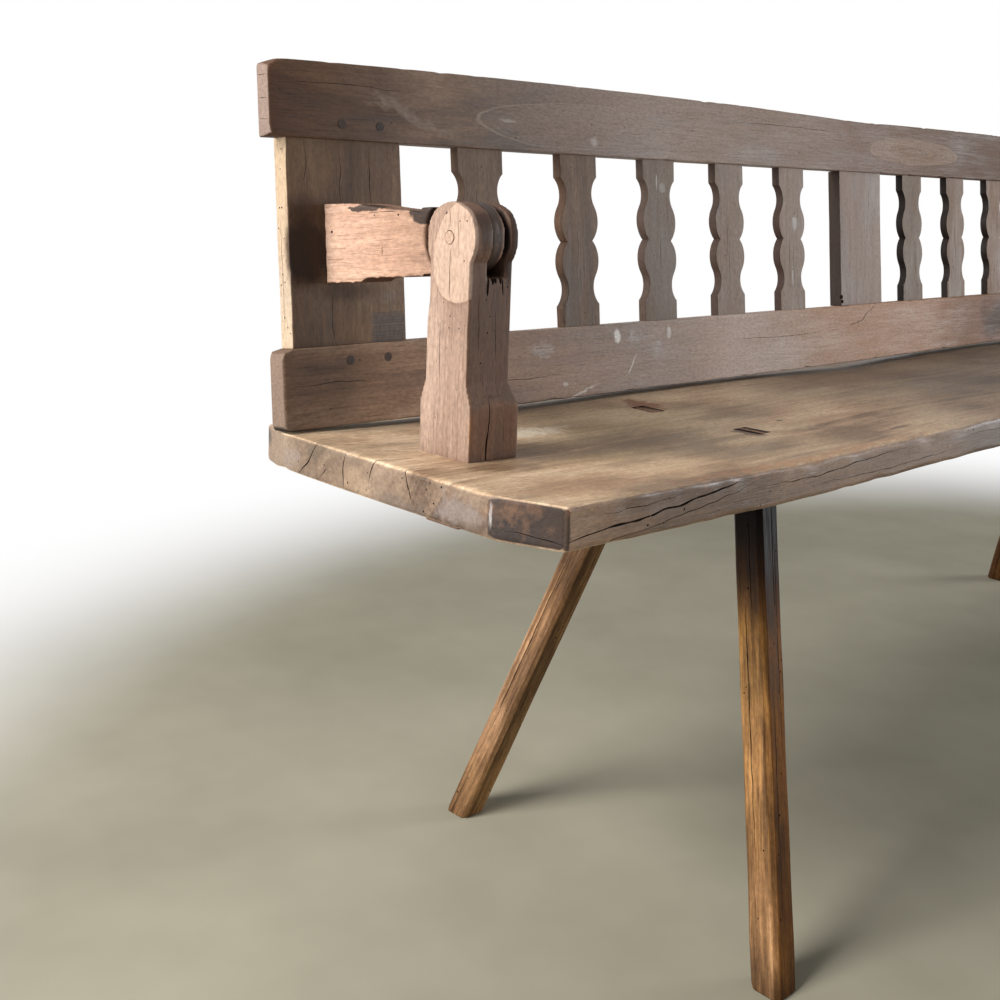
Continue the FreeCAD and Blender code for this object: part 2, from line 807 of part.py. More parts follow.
for item in doc.Objects:
    if "Invalid" in item.State or "Error" in item.State:
        raise RuntimeError(f"{item.Name} failed: {item.State}")
for piece in pieces:
    if piece.Shape.isNull() or not piece.Shape.isValid() or not piece.Shape.Solids:
        raise RuntimeError(f"{piece.Label} has no valid shape")

os.makedirs("parts", exist_ok=True)
for piece in pieces:
    piece.Shape.exportStep(f"parts/{piece.Label}.step")
    box = piece.Shape.BoundBox
    print(
        f"{piece.Label}: {len(piece.Shape.Solids)} solid, {piece.Shape.Volume / 1000:.1f} cm3,"
        f" X {box.XMin:.1f}..{box.XMax:.1f}, Y {box.YMin:.1f}..{box.YMax:.1f},"
        f" Z {box.ZMin:.1f}..{box.ZMax:.1f}"
    )
print(f"pivot level {value('pivot_level'):.2f}")
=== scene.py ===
import json
import math
import random

import bmesh
import bpy
from mathutils import Matrix, Vector, noise


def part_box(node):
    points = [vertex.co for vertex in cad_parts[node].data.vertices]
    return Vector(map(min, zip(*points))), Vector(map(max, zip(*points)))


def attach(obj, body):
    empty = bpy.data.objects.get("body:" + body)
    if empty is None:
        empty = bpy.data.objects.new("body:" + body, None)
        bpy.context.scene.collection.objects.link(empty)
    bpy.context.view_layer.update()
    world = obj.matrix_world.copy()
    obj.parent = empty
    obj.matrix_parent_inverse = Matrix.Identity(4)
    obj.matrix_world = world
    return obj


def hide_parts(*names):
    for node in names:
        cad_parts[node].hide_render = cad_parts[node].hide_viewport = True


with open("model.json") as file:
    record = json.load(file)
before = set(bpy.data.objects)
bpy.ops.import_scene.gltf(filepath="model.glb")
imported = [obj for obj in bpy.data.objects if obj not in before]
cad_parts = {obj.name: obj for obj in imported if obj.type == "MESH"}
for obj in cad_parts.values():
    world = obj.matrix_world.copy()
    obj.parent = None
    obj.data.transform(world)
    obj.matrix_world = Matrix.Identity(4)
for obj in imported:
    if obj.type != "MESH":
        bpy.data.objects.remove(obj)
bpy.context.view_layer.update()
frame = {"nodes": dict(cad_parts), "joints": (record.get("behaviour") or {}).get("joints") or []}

# Wooden monks bench: worn boards, posts, arms and legs built over the CAD frame.
# Metres, X along the bench, -Y the front, +Z up. The back's pieces are drawn upright about the
# pivot axis, as (X, u towards the back, v up the back), and then leaned by the rake.

RAKE = math.radians(5.33)
SHARP_ANGLE = math.radians(50)
PIVOT = Vector(frame["joints"][0]["pos_m"])
SIGNS = {"left": -1, "right": 1}

# Seat
SEAT_LIFT_RUN, SEAT_LIFT, SEAT_THICK = 0.332, 0.009, 0.033
FRONT_CLIP, REAR_CLIP, CLIP_TURN = (0.023, 0.054), (0.011, 0.037), 0.002
LEG_TENON, POST_TENON, ARM_TENON = (0.02, 0.03), (0.032, 0.04), (0.015, 0.04)
LEG_FOOT, LEG_HEAD = (0.65, 0.198), (0.543, 0.074)
LEG_SIZE, LEG_GROWTH = 0.031, 0.002

# Back
RAIL_FRONT, STILE_FRONT, STILE_THICK = 0.14, 0.1435, 0.018
PEG_DIAMETER, PIN_DIAMETER = 0.008, 0.01
ARM_CENTRE, ARM_CHEEK, TONGUE_SIDE = 0.8685, 0.868, 0.8492
SHOULDER, SHOULDER_RADIUS, SHOULDER_END = 0.0335, 0.0334, 0.052
ARM_RUN, ARM_SLANT = 0.11, 0.018
POST_CENTRE = 0.8405
SPLAT_WIDTH, SPLAT_BELLY, SPLAT_BLOCK, SPLAT_CUSP = 0.0565, 0.058, 0.067, 0.036
SPLAT_WAIST_ARC = (0.042919, 0.049379, 0.022928)
SPLAT_BELLY_ARC = (0.001146, 0.020509, 0.027858)
HEAD_HEIGHT = 0.56
FACET_CENTRE, FACET_RADII, FACET_TURN = (-0.0095, 0.6225), (0.027, 0.0405), math.radians(-15)
FACET_FRONT_STRETCH, FACET_DEPTH = 1.4, 0.009


def lean(point):
    """Where a point drawn about the pivot axis is in the frame."""
    x, u, v = point
    return Vector((
        x,
        u * math.cos(RAKE) + v * math.sin(RAKE),
        PIVOT.z - u * math.sin(RAKE) + v * math.cos(RAKE),
    ))


def unlean(point):
    """The other way round."""
    x, y, z = point
    z -= PIVOT.z
    return Vector((
        x,
        y * math.cos(RAKE) - z * math.sin(RAKE),
        y * math.sin(RAKE) + z * math.cos(RAKE),
    ))


BACKWARDS = lean((0, 1, 0)) - lean((0, 0, 0))


def corners_of(spots):
    """The lowest and highest corners of a list of points."""
    return [Vector([pick(spot[axis] for spot in spots) for axis in range(3)]) for pick in (min, max)]


def drawn_vertices(node):
    return [unlean(vertex.co) for vertex in frame["nodes"][node].data.vertices]


def extent(node):
    """The lowest and highest corners of a node of the back, drawn about the pivot axis."""
    return corners_of(drawn_vertices(node))


def wander(value, seed, scale=1.0):
    """Smooth noise along a line, from about -1 to 1."""
    return noise.noise(Vector((value * scale, seed * 7.13, seed * 3.71)))


def unit_noise(spot):
    """Smooth noise at a point, from about 0 to 1."""
    return 0.5 + 0.5 * noise.noise(Vector(spot))


def between(table, x):
    """Straight-line reading of a table of (x, y) pairs."""
    if x <= table[0][0]:
        return table[0][1]
    for (x0, y0), (x1, y1) in zip(table, table[1:]):
        if x <= x1:
            return y0 + (y1 - y0) * (x - x0) / (x1 - x0)
    return table[-1][1]


def mm(value):
    return value / 1000


def smooth(value, low, high):
    """0 below one level, 1 above the other, in an easy curve between them."""
    part = min(1.0, max(0.0, (value - low) / (high - low)))
    return part * part * (3 - 2 * part)


# Mesh building

def section(corners, radii, edge_points, support=0.0015):
    """A rounded outline. Each corner gets an arc of four points, and each side its share of
    points, with one close to each end so that worn arrises stay narrow."""
    count = len(corners)
    arcs = []
    for index in range(count):
        here = Vector(corners[index])
        before = Vector(corners[index - 1]) - here
        after = Vector(corners[(index + 1) % count]) - here
        reach = min(radii[index], before.length * 0.45, after.length * 0.45)
        first = here + before.normalized() * reach
        last = here + after.normalized() * reach
        arcs.append([
            first * (1 - t) ** 2 + here * 2 * t * (1 - t) + last * t * t
            for t in (step / 3 for step in range(4))
        ])
    outline = []
    for index, inner in enumerate(edge_points):
        outline += arcs[index]
        start, end = arcs[index][-1], arcs[(index + 1) % count][0]
        length = (end - start).length
        near = min(support / length, 0.2) if length else 0.2
        shares = [near + (1 - 2 * near) * step / (inner + 1) for step in range(1, inner + 1)]
        outline += [start.lerp(end, share) for share in (near, *shares, 1 - near)]
    return outline


def skin(mesh, rings):
    """Add a closed shape through rings of equal length."""
    rows = [[mesh.verts.new(point) for point in ring] for ring in rings]
    size = len(rows[0])
    for lower, upper in zip(rows, rows[1:]):
        for index in range(size):
            after = (index + 1) % size
            mesh.faces.new((lower[index], lower[after], upper[after], upper[index]))
    mesh.faces.new(rows[0][::-1])
    mesh.faces.new(rows[-1])


def swept(rings):
    mesh = bmesh.new()
    skin(mesh, rings)
    bmesh.ops.recalc_face_normals(mesh, faces=mesh.faces)
    return mesh


def stations(start, end, step, rounding, extra=()):
    """Places along a piece, close together where its ends are rounded."""
    turns = [math.radians(angle) for angle in (0, 30, 60, 90)]
    near = [start + rounding * (1 - math.sin(turn)) for turn in turns][::-1]
    far = [end - rounding * (1 - math.sin(turn)) for turn in turns]
    count = max(2, round((far[0] - near[-1]) / step))
    inner = [near[-1] + (far[0] - near[-1]) * index / count for index in range(1, count)]
    inner = [place for place in inner if all(abs(place - other) > step * 0.3 for other in extra)]
    inner += [place for place in extra if near[-1] < place < far[0]]
    return near + sorted(inner) + far


def end_inset(place, start, end, rounding):
    """How far a rounded end draws the section in."""
    gap = min(place - start, end - place)
    if gap >= rounding:
        return 0.0
    return rounding - math.sqrt(max(0.0, rounding ** 2 - (rounding - gap) ** 2))


def board(span, low, high, faces, to_frame, seed, step=0.007, arris=0.0015, rounding=0.002,
          points=(10, 2), extra=()):
    """A worn board along its length. low and high give its edges at each place along it, faces
    are its two faces, and to_frame turns (along, across, through) into a point."""
    start, end = span
    rings = []
    for place in stations(start, end, step, rounding, extra):
        inset = end_inset(place, start, end, rounding)
        left, right = low(place) + inset, high(place) - inset
        front, rear = faces[0] + inset, faces[1] - inset
        corners = [(left, front), (right, front), (right, rear), (left, rear)]
        radii = []
        for corner in range(4):
            worn = 1 + 0.55 * wander(place, seed + corner, 14) + 0.35 * wander(place, seed - corner, 45)
            radii.append(max(0.0004, arris * worn))
        outline = section(corners, radii, points * 2)
        rings.append([to_frame((place, across, through)) for across, through in outline])
    return swept(rings)


def weather(mesh, seed, broad=0.0005, fine=0.0002, scale=(9, 9, 9)):
    """Hollow the surface a little, never outwards."""
    mesh.normal_update()
    moves = []
    for vertex in mesh.verts:
        spot = Vector([vertex.co[axis] * scale[axis] for axis in range(3)])
        wide = unit_noise(spot + Vector((seed, seed * 0.7, 3)))
        close = unit_noise(spot * 7 + Vector((seed * 0.3, 5, seed)))
        moves.append(vertex.normal * -(broad * wide + fine * close))
    for vertex, move in zip(mesh.verts, moves):
        vertex.co += move


def dent(mesh, spots):
    """Press hollows into the mesh: each is a centre, a radius, a depth and a direction."""
    for centre, radius, depth, inwards in spots:
        centre, inwards = Vector(centre), Vector(inwards).normalized()
        for vertex in mesh.verts:
            gap = (vertex.co - centre).length
            if gap < radius:
                vertex.co += inwards * depth * (1 - (gap / radius) ** 2) ** 2


def arris_dents(mesh, seed, start, end, inwards, count, radius=(0.004, 0.01), depth=(0.0005, 0.0016)):
    """Seeded knocks along an arris from one point to another."""
    luck = random.Random(seed)
    start, end = Vector(start), Vector(end)
    dent(mesh, [
        (start.lerp(end, luck.random()), luck.uniform(*radius), luck.uniform(*depth), inwards)
        for _ in range(count)
    ])


def link(item):
    bpy.context.scene.collection.objects.link(item)
    return item


def as_object(name, mesh):
    data = bpy.data.meshes.new(name)
    mesh.to_mesh(data)
    mesh.free()
    return link(bpy.data.objects.new(name, data))


def modified(piece, kind, **settings):
    """Apply one modifier."""
    modifier = piece.modifiers.new(kind, kind)
    for key, setting in settings.items():
        setattr(modifier, key, setting)
    graph = bpy.context.evaluated_depsgraph_get()
    piece.data = bpy.data.meshes.new_from_object(
        piece.evaluated_get(graph), preserve_all_data_layers=True, depsgraph=graph
    )
    piece.modifiers.clear()


# Cracks, holes and mortises are cut out of the pieces

def crack(cutter, points, inwards, depth, width, seed, ragged=0.0006):
    """A split along a line on the surface, widest in its middle."""
    inwards = Vector(inwards).normalized()
    line = [Vector(point) for point in points]
    lengths = [(b - a).length for a, b in zip(line, line[1:])]
    total = sum(lengths)
    count = max(6, round(total / 0.004))
    spots = []
    for index in range(count + 1):
        left = total * index / count
        for a, b, length in zip(line, line[1:], lengths):
            if left <= length or b is line[-1]:
                spots.append(a.lerp(b, left / length))
                break
            left -= length
    rows = []
    for index, spot in enumerate(spots):
        ahead = spots[min(index + 1, count)] - spots[max(index - 1, 0)]
        side = ahead.cross(inwards).normalized()
        share = index / count
        swell = math.sin(math.pi * min(max(share, 0.02), 0.98)) ** 0.5
        swell *= 0.75 + 0.5 * wander(index * 0.31, seed)
        spot = spot + side * ragged * wander(index * 0.23, seed + 5) * 2
        half, deep = width * swell / 2 + 0.00004, depth * (0.3 + 0.7 * swell)
        above = spot - inwards * 0.0015
        flare = half * (1 + 0.0015 / deep)
        rows.append([above - side * flare, above + side * flare, spot + inwards * deep])
    skin(cutter, rows)


def cracks(cutter, lines, to_point, inwards, depth, seed, ragged=0.0006):
    """Splits given in mm by their widths and points, which to_point puts on the surface."""
    for number, (width, *line) in enumerate(lines, seed):
        points = [to_point(mm(a), mm(b)) for a, b in line]
        crack(cutter, points, inwards, depth, mm(width), number, ragged)


def pit(cutter, centre, inwards, radius, depth):
    """A small hole, a little narrower at its bottom."""
    centre, inwards = Vector(centre), Vector(inwards).normalized()
    side = inwards.orthogonal().normalized()
    other = inwards.cross(side)
    turns = [math.tau * index / 10 for index in range(10)]
    skin(cutter, [
        [centre + inwards * level + (side * math.cos(turn) + other * math.sin(turn)) * radius * size
         for turn in turns]
        for level, size in ((-0.0015, 1.0), (depth, 0.7))
    ])


def pits(cutter, luck, count, ranges, inwards, radius, depth, to_point=Vector):
    """Seeded holes. ranges gives each part of a place, or two ends to draw it between."""
    for _ in range(count):
        spot = [luck.uniform(*part) if isinstance(part, tuple) else part for part in ranges]
        pit(cutter, to_point(spot), inwards, luck.uniform(*radius), depth)


def carve(piece, cutter, inner):
    """Cut the cutter's closed shapes out of the piece; the cut faces get the inner material."""
    bmesh.ops.recalc_face_normals(cutter, faces=cutter.faces)
    tool = as_object(piece.name + "_cutter", cutter)
    tool.data.materials.append(inner)
    modified(piece, "BOOLEAN", operation="DIFFERENCE", solver="MANIFOLD", material_mode="TRANSFER",
             object=tool)
    bpy.data.objects.remove(tool)


def shade(piece):
    """Smooth shading with sharp edges past an angle."""
    mesh = bmesh.new()
    mesh.from_mesh(piece.data)
    for face in mesh.faces:
        face.smooth = True
    for edge in mesh.edges:
        edge.smooth = len(edge.link_faces) == 2 and edge.calc_face_angle(0) < SHARP_ANGLE
    mesh.to_mesh(piece.data)
    mesh.free()


# Materials

class Graph:
    """The nodes of a material or world, made one call at a time."""

    def __init__(self, owner):
        self.owner = owner
        owner.use_nodes = True
        self.nodes, self.links = owner.node_tree.nodes, owner.node_tree.links
        self.nodes.clear()

    def add(self, kind, inputs=None, output=0, **settings):
        """Make a node and give back one of its outputs."""
        node = self.nodes.new(kind)
        for key, setting in settings.items():
            setattr(node, key, setting)
        for key, given in (inputs or {}).items():
            if isinstance(given, bpy.types.NodeSocket):
                self.links.new(given, node.inputs[key])
            else:
                node.inputs[key].default_value = given
        return node.outputs[output] if node.outputs else None

    def math(self, operation, first, second=0.0, third=0.0, clamp=False):
        return self.add(
            "ShaderNodeMath", {0: first, 1: second, 2: third}, operation=operation, use_clamp=clamp
        )

    def times(self, first, *others):
        for other in others:
            first = self.math("MULTIPLY", first, other)
        return first

    def vector(self, operation, first, second=(0, 0, 0), output=0):
        return self.add("ShaderNodeVectorMath", {0: first, 1: second}, output, operation=operation)

    def axis(self, vector, axis):
        """One part of a vector."""
        return self.add("ShaderNodeSeparateXYZ", {0: vector}, axis)

    def span(self, value, low, high, to_low=0.0, to_high=1.0):
        """Read a value between two levels, smoothly and clamped."""
        return self.add(
            "ShaderNodeMapRange",
            {"Value": value, "From Min": low, "From Max": high, "To Min": to_low, "To Max": to_high},
            interpolation_type="SMOOTHSTEP",
        )

    def mapping(self, vector, location=(0, 0, 0), rotation=(0, 0, 0), scale=(1, 1, 1)):
        return self.add("ShaderNodeMapping", {
            "Vector": vector, "Location": location, "Rotation": rotation, "Scale": scale
        })

    def noise(self, vector, scale, detail=2.0, roughness=0.5, stretch=(1, 1, 1), output=0):
        """Noise, drawn out where stretch is below 1."""
        if stretch != (1, 1, 1):
            vector = self.mapping(vector, scale=stretch)
        return self.add("ShaderNodeTexNoise", {
            "Vector": vector, "Scale": scale, "Detail": detail, "Roughness": roughness
        }, output)

    def line_noise(self, value, detail=2.0, roughness=0.5):
        return self.add(
            "ShaderNodeTexNoise",
            {"W": value, "Scale": 1.0, "Detail": detail, "Roughness": roughness},
            noise_dimensions="1D",
        )

    def around(self, value, share, base):
        """Add a share of how far a value is from one half."""
        return self.math("MULTIPLY_ADD", self.math("SUBTRACT", value, 0.5), share, base)

    def mix(self, share, first, second, blend="MIX"):
        first, second = (
            colour if isinstance(colour, bpy.types.NodeSocket) else (*colour, 1)
            for colour in (first, second)
        )
        return self.add(
            "ShaderNodeMix", {0: share, 6: first, 7: second}, 2, data_type="RGBA", blend_type=blend
        )

    def ramp(self, value, stops):
        node = self.add("ShaderNodeValToRGB", {0: value}).node
        elements = node.color_ramp.elements
        for element, (position, colour) in ((elements[1], stops[-1]), (elements[0], stops[0])):
            element.position = position
            element.color = (*colour, 1)
        for position, colour in stops[1:-1]:
            elements.new(position).color = (*colour, 1)
        return node.outputs[0]

    def place(self, leaning):
        """The point on the piece at rest, drawn about the pivot axis if it leans."""
        point = self.add("ShaderNodeTexCoord", output=3)
        if not leaning:
            return point
        return self.mapping(
            point,
            location=(0, PIVOT.z * math.sin(RAKE), -PIVOT.z * math.cos(RAKE)),
            rotation=(RAKE, 0, 0),
        )

    def distance(self, place, centre, radii, turn=0.0):
        """How far a place is from a centre, in radii."""
        moved = self.vector("SUBTRACT", place, tuple(centre))
        if turn:
            moved = self.mapping(moved, rotation=(0, turn, 0))
        sized = self.mapping(moved, scale=tuple(1 / radius for radius in radii))
        return self.vector("LENGTH", sized, output=1)

    def shader(self, colour, roughness, height, strength, distance, specular):
        bump = self.add("ShaderNodeBump", {
            "Height": height, "Strength": strength, "Distance": distance
        })
        surface = self.add("ShaderNodeBsdfPrincipled", {
            "Base Color": colour, "Roughness": roughness, "Normal": bump,
            "Specular IOR Level": specular,
        })
        self.add("ShaderNodeOutputMaterial", {"Surface": surface})
        return self.owner


ALONG_X, ALONG_Y, ALONG_Z = (1, 0, 0), (0, 1, 0), (0, 0, 1)


def wood(name, tones, along, marks=(), leaning=False, seed=0.0, ring=0.006, stretch=18, bend=0.05,
         contrast=0.6, mottle=1.0, worn=(0.42, 0.33, 0.25), wear=0.6, upward=0.55, film=None,
         roughness=(0.52, 0.74), holes=0.8, specular=0.25):
    """Old wood. tones are its dark, middle and light colours, along the way the grain runs,
    film a dusty colour with its share, and marks a list of functions that give colour changes."""
    g = Graph(bpy.data.materials.new(name))
    place = g.place(leaning)
    turn = Vector(along).rotation_difference(Vector(ALONG_X)).to_euler()
    shifted = g.mapping(
        g.mapping(place, rotation=turn), location=(seed * 0.71, seed * 0.37, seed * 0.53)
    )
    # grain
    sway = g.noise(shifted, 7, 2, stretch=(0.28, 1, 1))
    across = g.math("MULTIPLY_ADD", g.axis(shifted, 2), 0.55, g.axis(shifted, 1))
    across = g.math("MULTIPLY_ADD", sway, bend, across)
    rings = g.line_noise(g.math("DIVIDE", across, ring), 3, 0.62)
    streaks = g.noise(shifted, 260, 3, 0.62, (1 / stretch, 1, 1))
    threads = g.noise(shifted, 1300, 1, 0.5, (1 / 45, 1, 1))
    cloud = g.noise(shifted, 15, 3, 0.6, (0.4, 1, 1))
    patch = g.noise(shifted, 5, 2, 0.5, (0.5, 1, 1))
    tone = g.around(rings, 0.75 * contrast, 0.5)
    tone = g.around(streaks, 0.85 * contrast, tone)
    tone = g.around(cloud, 0.8 * mottle, tone)
    tone = g.around(patch, 0.5 * mottle, tone)
    colour = g.ramp(tone, list(zip((0.22, 0.5, 0.8), tones)))
    pores = g.span(threads, 0.4, 0.3)
    colour = g.mix(g.times(pores, 0.55), colour, (0.35, 0.28, 0.24), "MULTIPLY")
    if film:
        dusty = g.span(g.noise(shifted, 9, 4, 0.6, (0.5, 1, 1)), 0.35, 0.7)
        colour = g.mix(g.times(dusty, film[1]), colour, film[0])
    # worn arrises and dirty hollows
    pointed = g.add("ShaderNodeNewGeometry", output="Pointiness")
    normal = g.add("ShaderNodeTexCoord", output=1)
    edge = g.times(
        g.span(pointed, 0.515, 0.6), g.span(g.axis(normal, 2), 0.05, 0.35, 1 - upward, 1.0)
    )
    broken = g.span(g.noise(shifted, 60, 3, 0.7), 0.38, 0.62)
    colour = g.mix(g.times(edge, broken, wear), colour, worn)
    hollow = g.span(pointed, 0.49, 0.4)
    colour = g.mix(g.times(hollow, 0.6), colour, (0.3, 0.25, 0.22), "MULTIPLY")
    # insect holes
    cells = g.add("ShaderNodeTexVoronoi", {"Vector": shifted, "Scale": 55}).node.outputs
    chosen = g.span(g.add("ShaderNodeSeparateColor", {0: cells["Color"]}), holes, holes + 0.02)
    dots = g.times(g.span(cells["Distance"], 0.055, 0.035), chosen)
    colour = g.mix(g.times(dots, 0.85), colour, (0.03, 0.018, 0.012))
    for mark in marks:
        share, change, blend = mark(g, place, shifted)
        colour = g.mix(share, colour, change, blend)
    specks = g.noise(shifted, 420, 3, 0.75, (0.4, 1, 1))
    specks = g.ramp(specks, [(0.3, (0.74, 0.73, 0.72)), (0.7, (1.26, 1.26, 1.25))])
    colour = g.mix(1.0, colour, specks, "MULTIPLY")
    height = g.math("MULTIPLY_ADD", streaks, 0.8, g.times(rings, 0.5))
    height = g.math("MULTIPLY_ADD", pores, -0.5, height)
    height = g.math("MULTIPLY_ADD", dots, -1.5, height)
    gloss = g.span(g.math("ADD", g.times(cloud, 0.6), g.times(streaks, 0.4)), 0.3, 0.7, *roughness)
    return g.shader(colour, gloss, height, 0.45, 0.0007, specular)


# Marks: each gives a share, a colour and a way to blend it

def ragged_mark(centre, radii, colour, share=1.0, soft=0.5, ragged=0.3, turn=0.0, blend="MIX", scale=70,
          streaks=0.0):
    """A mark with a ragged edge, turned about the second axis."""
    def mark(g, place, shifted):
        bend = g.noise(shifted, scale * 1.3, 3.0, output=1)
        bend = g.vector("SUBTRACT", bend, (0.5, 0.5, 0.5))
        bend = g.vector("MULTIPLY", bend, tuple(radius * ragged * 3 for radius in radii))
        moved = g.vector("ADD", place, bend)
        inside = g.span(g.distance(moved, centre, radii, turn), 1.0, 1.0 - soft)
        limit = g.span(g.distance(moved, centre, [r * 1.25 for r in radii], turn), 1.0, 0.6)
        inside = g.math("MULTIPLY_ADD", inside, 1 + ragged, -ragged * 0.5)
        inside = g.around(g.noise(shifted, scale, 3, 0.65), ragged * 4, inside)
        inside = g.math("MINIMUM", inside, 1.0, clamp=True)
        inside = g.times(inside, g.span(limit, 0, 0.3), share)
        if streaks:
            lines = g.noise(shifted, 420, 2, stretch=(0.12, 1, 1))
            inside = g.times(inside, g.span(lines, 0.4, 0.6, 1 - streaks, 1.0))
        return inside, colour, blend
    return mark


def ragged_multiply(*given, **settings):
    """A ragged mark that multiplies the colour."""
    return ragged_mark(*given, blend="MULTIPLY", **settings)


def hatched(low, high, colour, share):
    """A rectangular rub mark of fine ragged lines, from one (X, Z) corner to the other."""
    shift, pitch = 0.006, 0.0016
    def mark(g, place, shifted):
        bend = g.noise(place, 130, 3, 0.6)
        inside = share
        for axis, start, end in zip((0, 2), low, high):
            moved = g.math("MULTIPLY_ADD", bend, shift, g.axis(place, axis))
            gap = g.math("ABSOLUTE", g.math("SUBTRACT", moved, (start + end) / 2 + shift / 2))
            half = (end - start) / 2
            inside = g.times(inside, g.span(gap, half + 0.001, half - 0.002))
        lines = g.line_noise(g.math("DIVIDE", g.axis(place, 2), pitch), 1, 0.5)
        return g.times(inside, g.span(lines, 0.35, 0.6, 0.35, 1.0)), colour, "MIX"
    return mark


def graded_colour(axis, stops):
    """A colour multiplied in, which changes along an axis. Stops are (place, colour)."""
    def mark(g, place, shifted):
        start, end = stops[0][0], stops[-1][0]
        share = g.add("ShaderNodeMapRange", {
            "Value": g.axis(place, axis), "From Min": start, "From Max": end
        })
        stretch = [((at - start) / (end - start), tone) for at, tone in stops]
        return 1.0, g.ramp(share, stretch), "MULTIPLY"
    return mark


def fade(axis, low, high, colour, share, blend="MIX"):
    """A change that grows between two places along an axis."""
    def mark(g, place, shifted):
        return g.span(g.axis(place, axis), low, high, 0.0, share), colour, blend
    return mark


def facing(direction, colour, share=1.0, low=0.5, high=0.9, blend="MULTIPLY"):
    """A change on the faces that look one way."""
    def mark(g, place, shifted):
        normal = g.add("ShaderNodeTexCoord", output=1)
        amount = g.vector("DOT_PRODUCT", normal, direction, output=1)
        return g.span(amount, low, high, 0.0, share), colour, blend
    return mark


def oval(centre, radii, lines, light, share):
    """A long oval figure in the grain, with paler lines one inside the other."""
    def mark(g, place, shifted):
        bend = g.noise(place, 28, 2, stretch=(0.25, 0, 1))
        far = g.math("MULTIPLY_ADD", bend, 0.35, g.distance(place, centre, radii))
        far = g.math("SUBTRACT", far, 0.175)
        rings = g.line_noise(g.times(far, lines * 2.2), 2, 0.5)
        lit = g.times(g.span(far, 1.02, 0.95), g.span(rings, 0.35, 0.65, 0.35, 1.0), share)
        rim = g.times(g.span(far, 0.955, 0.985), g.span(far, 1.03, 1.0), 0.55)
        return g.math("MAXIMUM", lit, rim), light, "MIX"
    return mark


def facet_tint(colour, share):
    """The paler flat oval on a post's outer cheek."""
    def mark(g, place, shifted):
        moved = g.vector("SUBTRACT", place, (0, *FACET_CENTRE))
        turned = g.mapping(moved, rotation=(FACET_TURN, 0, 0), scale=(0, 1, 1))
        forward, up = FACET_RADII
        wide = g.span(g.axis(turned, 1), -0.0001, 0.0001, forward * FACET_FRONT_STRETCH, forward)
        first = g.math("DIVIDE", g.axis(turned, 1), wide)
        second = g.math("DIVIDE", g.axis(turned, 2), up)
        far = g.math("SQRT", g.math("ADD", g.times(first, first), g.times(second, second)))
        far = g.math("MULTIPLY_ADD", g.noise(place, 90, 3), 0.06, far)
        on_cheek = g.span(g.math("ABSOLUTE", g.axis(place, 0)), 0.8655, 0.8672)
        return g.times(g.span(far, 1.05, 1.01), on_cheek, share), colour, "MIX"
    return mark


def split_material():
    """The dark inside of splits and holes, dirt deepened to near black as painted shade."""
    g = Graph(bpy.data.materials.new("split_inside"))
    grain = g.noise(g.place(False), 300, 3, 0.6)
    colour = g.ramp(grain, [(0.3, (0.012, 0.008, 0.006)), (0.75, (0.05, 0.03, 0.02))])
    return g.shader(colour, g.span(grain, 0.3, 0.7, 0.8, 0.95), grain, 0.4, 0.0005, 0.1)


SPLIT = split_material()
BOARD_TONES = ((0.062, 0.035, 0.022), (0.16, 0.098, 0.066), (0.27, 0.19, 0.14))
# A pale grey mixed in towards the right of the back, as painted glare.
PAINTED_GLARE = (0.34, 0.285, 0.255)


# Seat

SEAT_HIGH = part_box("seat_plank")[1]
SEAT_END, SEAT_HALF = SEAT_HIGH.x, SEAT_HIGH.y
SEAT_TOP = SEAT_HIGH.z - SEAT_LIFT
SEAT_UNDER = SEAT_TOP - SEAT_THICK
LIFT_RADIUS = (SEAT_LIFT_RUN ** 2 + SEAT_LIFT ** 2) / (2 * SEAT_LIFT)
# How far the edges are warped, in mm, at places along the seat
FRONT_WARP = [(-0.93, 0), (-0.82, 2.0), (-0.76, 2.1), (-0.7, 1.6), (-0.6, 0.4), (0.9, 0)]
REAR_WARP = [
    (-0.93, 1.5), (-0.86, 1.8), (-0.8, 2.2), (-0.66, 3.7), (-0.476, 4.0), (-0.36, 3.0), (-0.248, 1.5),
    (-0.17, -0.5), (-0.1, -2.5), (-0.038, -4.5), (0.02, -3.5), (0.07, -1.5), (0.17, 1.0),
    (0.4, 1.5), (0.93, 0),
]
# Splits in mm: a width and places, as (Y, Z) on the end, (X, Y) on the top and (X, Z) on the front
END_SPLITS = [
    (1.9, (112, 428), (98, 443), (83, 463)),
    (1.6, (49, 430), (50, 445), (46, 463)),
    (1.5, (16, 440), (14, 452), (8, 463)),
    (1.6, (-36, 438), (-30, 450), (-27, 463)),
    (1.0, (80, 433), (72, 441)),
]
TOP_SPLITS = [
    (1.2, (-934, 86), (-915, 74), (-893, 60)),
    (1.6, (-934, 50), (-906, 42), (-873, 25), (-852, 24)),
    (1.0, (-934, 8), (-915, 4), (-898, 6)),
    (1.1, (-934, -27), (-915, -29)),
    (0.5, (-360, 100), (-300, 98), (-240, 102)),
    (0.6, (100, -60), (220, -66), (360, -61)),
    (0.9, (600, 50), (750, 46), (930, 49)),
    (0.8, (780, -80), (930, -83)),
]
FRONT_SPLITS = [
    (2.4, (-908, 434), (-876, 436.5), (-833, 438.5), (-806, 440), (-762, 443.5), (-705, 449.5)),
    (0.9, (-905, 423), (-860, 427), (-800, 431), (-740, 438), (-690, 444)),
    (0.7, (-871, 448), (-821, 447.5), (-780, 449)),
    (1.0, (-700, 440), (-600, 437), (-510, 441), (-440, 444)),
    (0.6, (-600, 430), (-480, 427.5), (-330, 430)),
    (0.8, (-300, 441), (-120, 437), (50, 439), (200, 435)),
    (0.8, (350, 432), (550, 438), (720, 441)),
]


def seat_lift(x):
    run = max(0.0, abs(x) - (SEAT_END - SEAT_LIFT_RUN))
    return LIFT_RADIUS - math.sqrt(LIFT_RADIUS ** 2 - run ** 2)


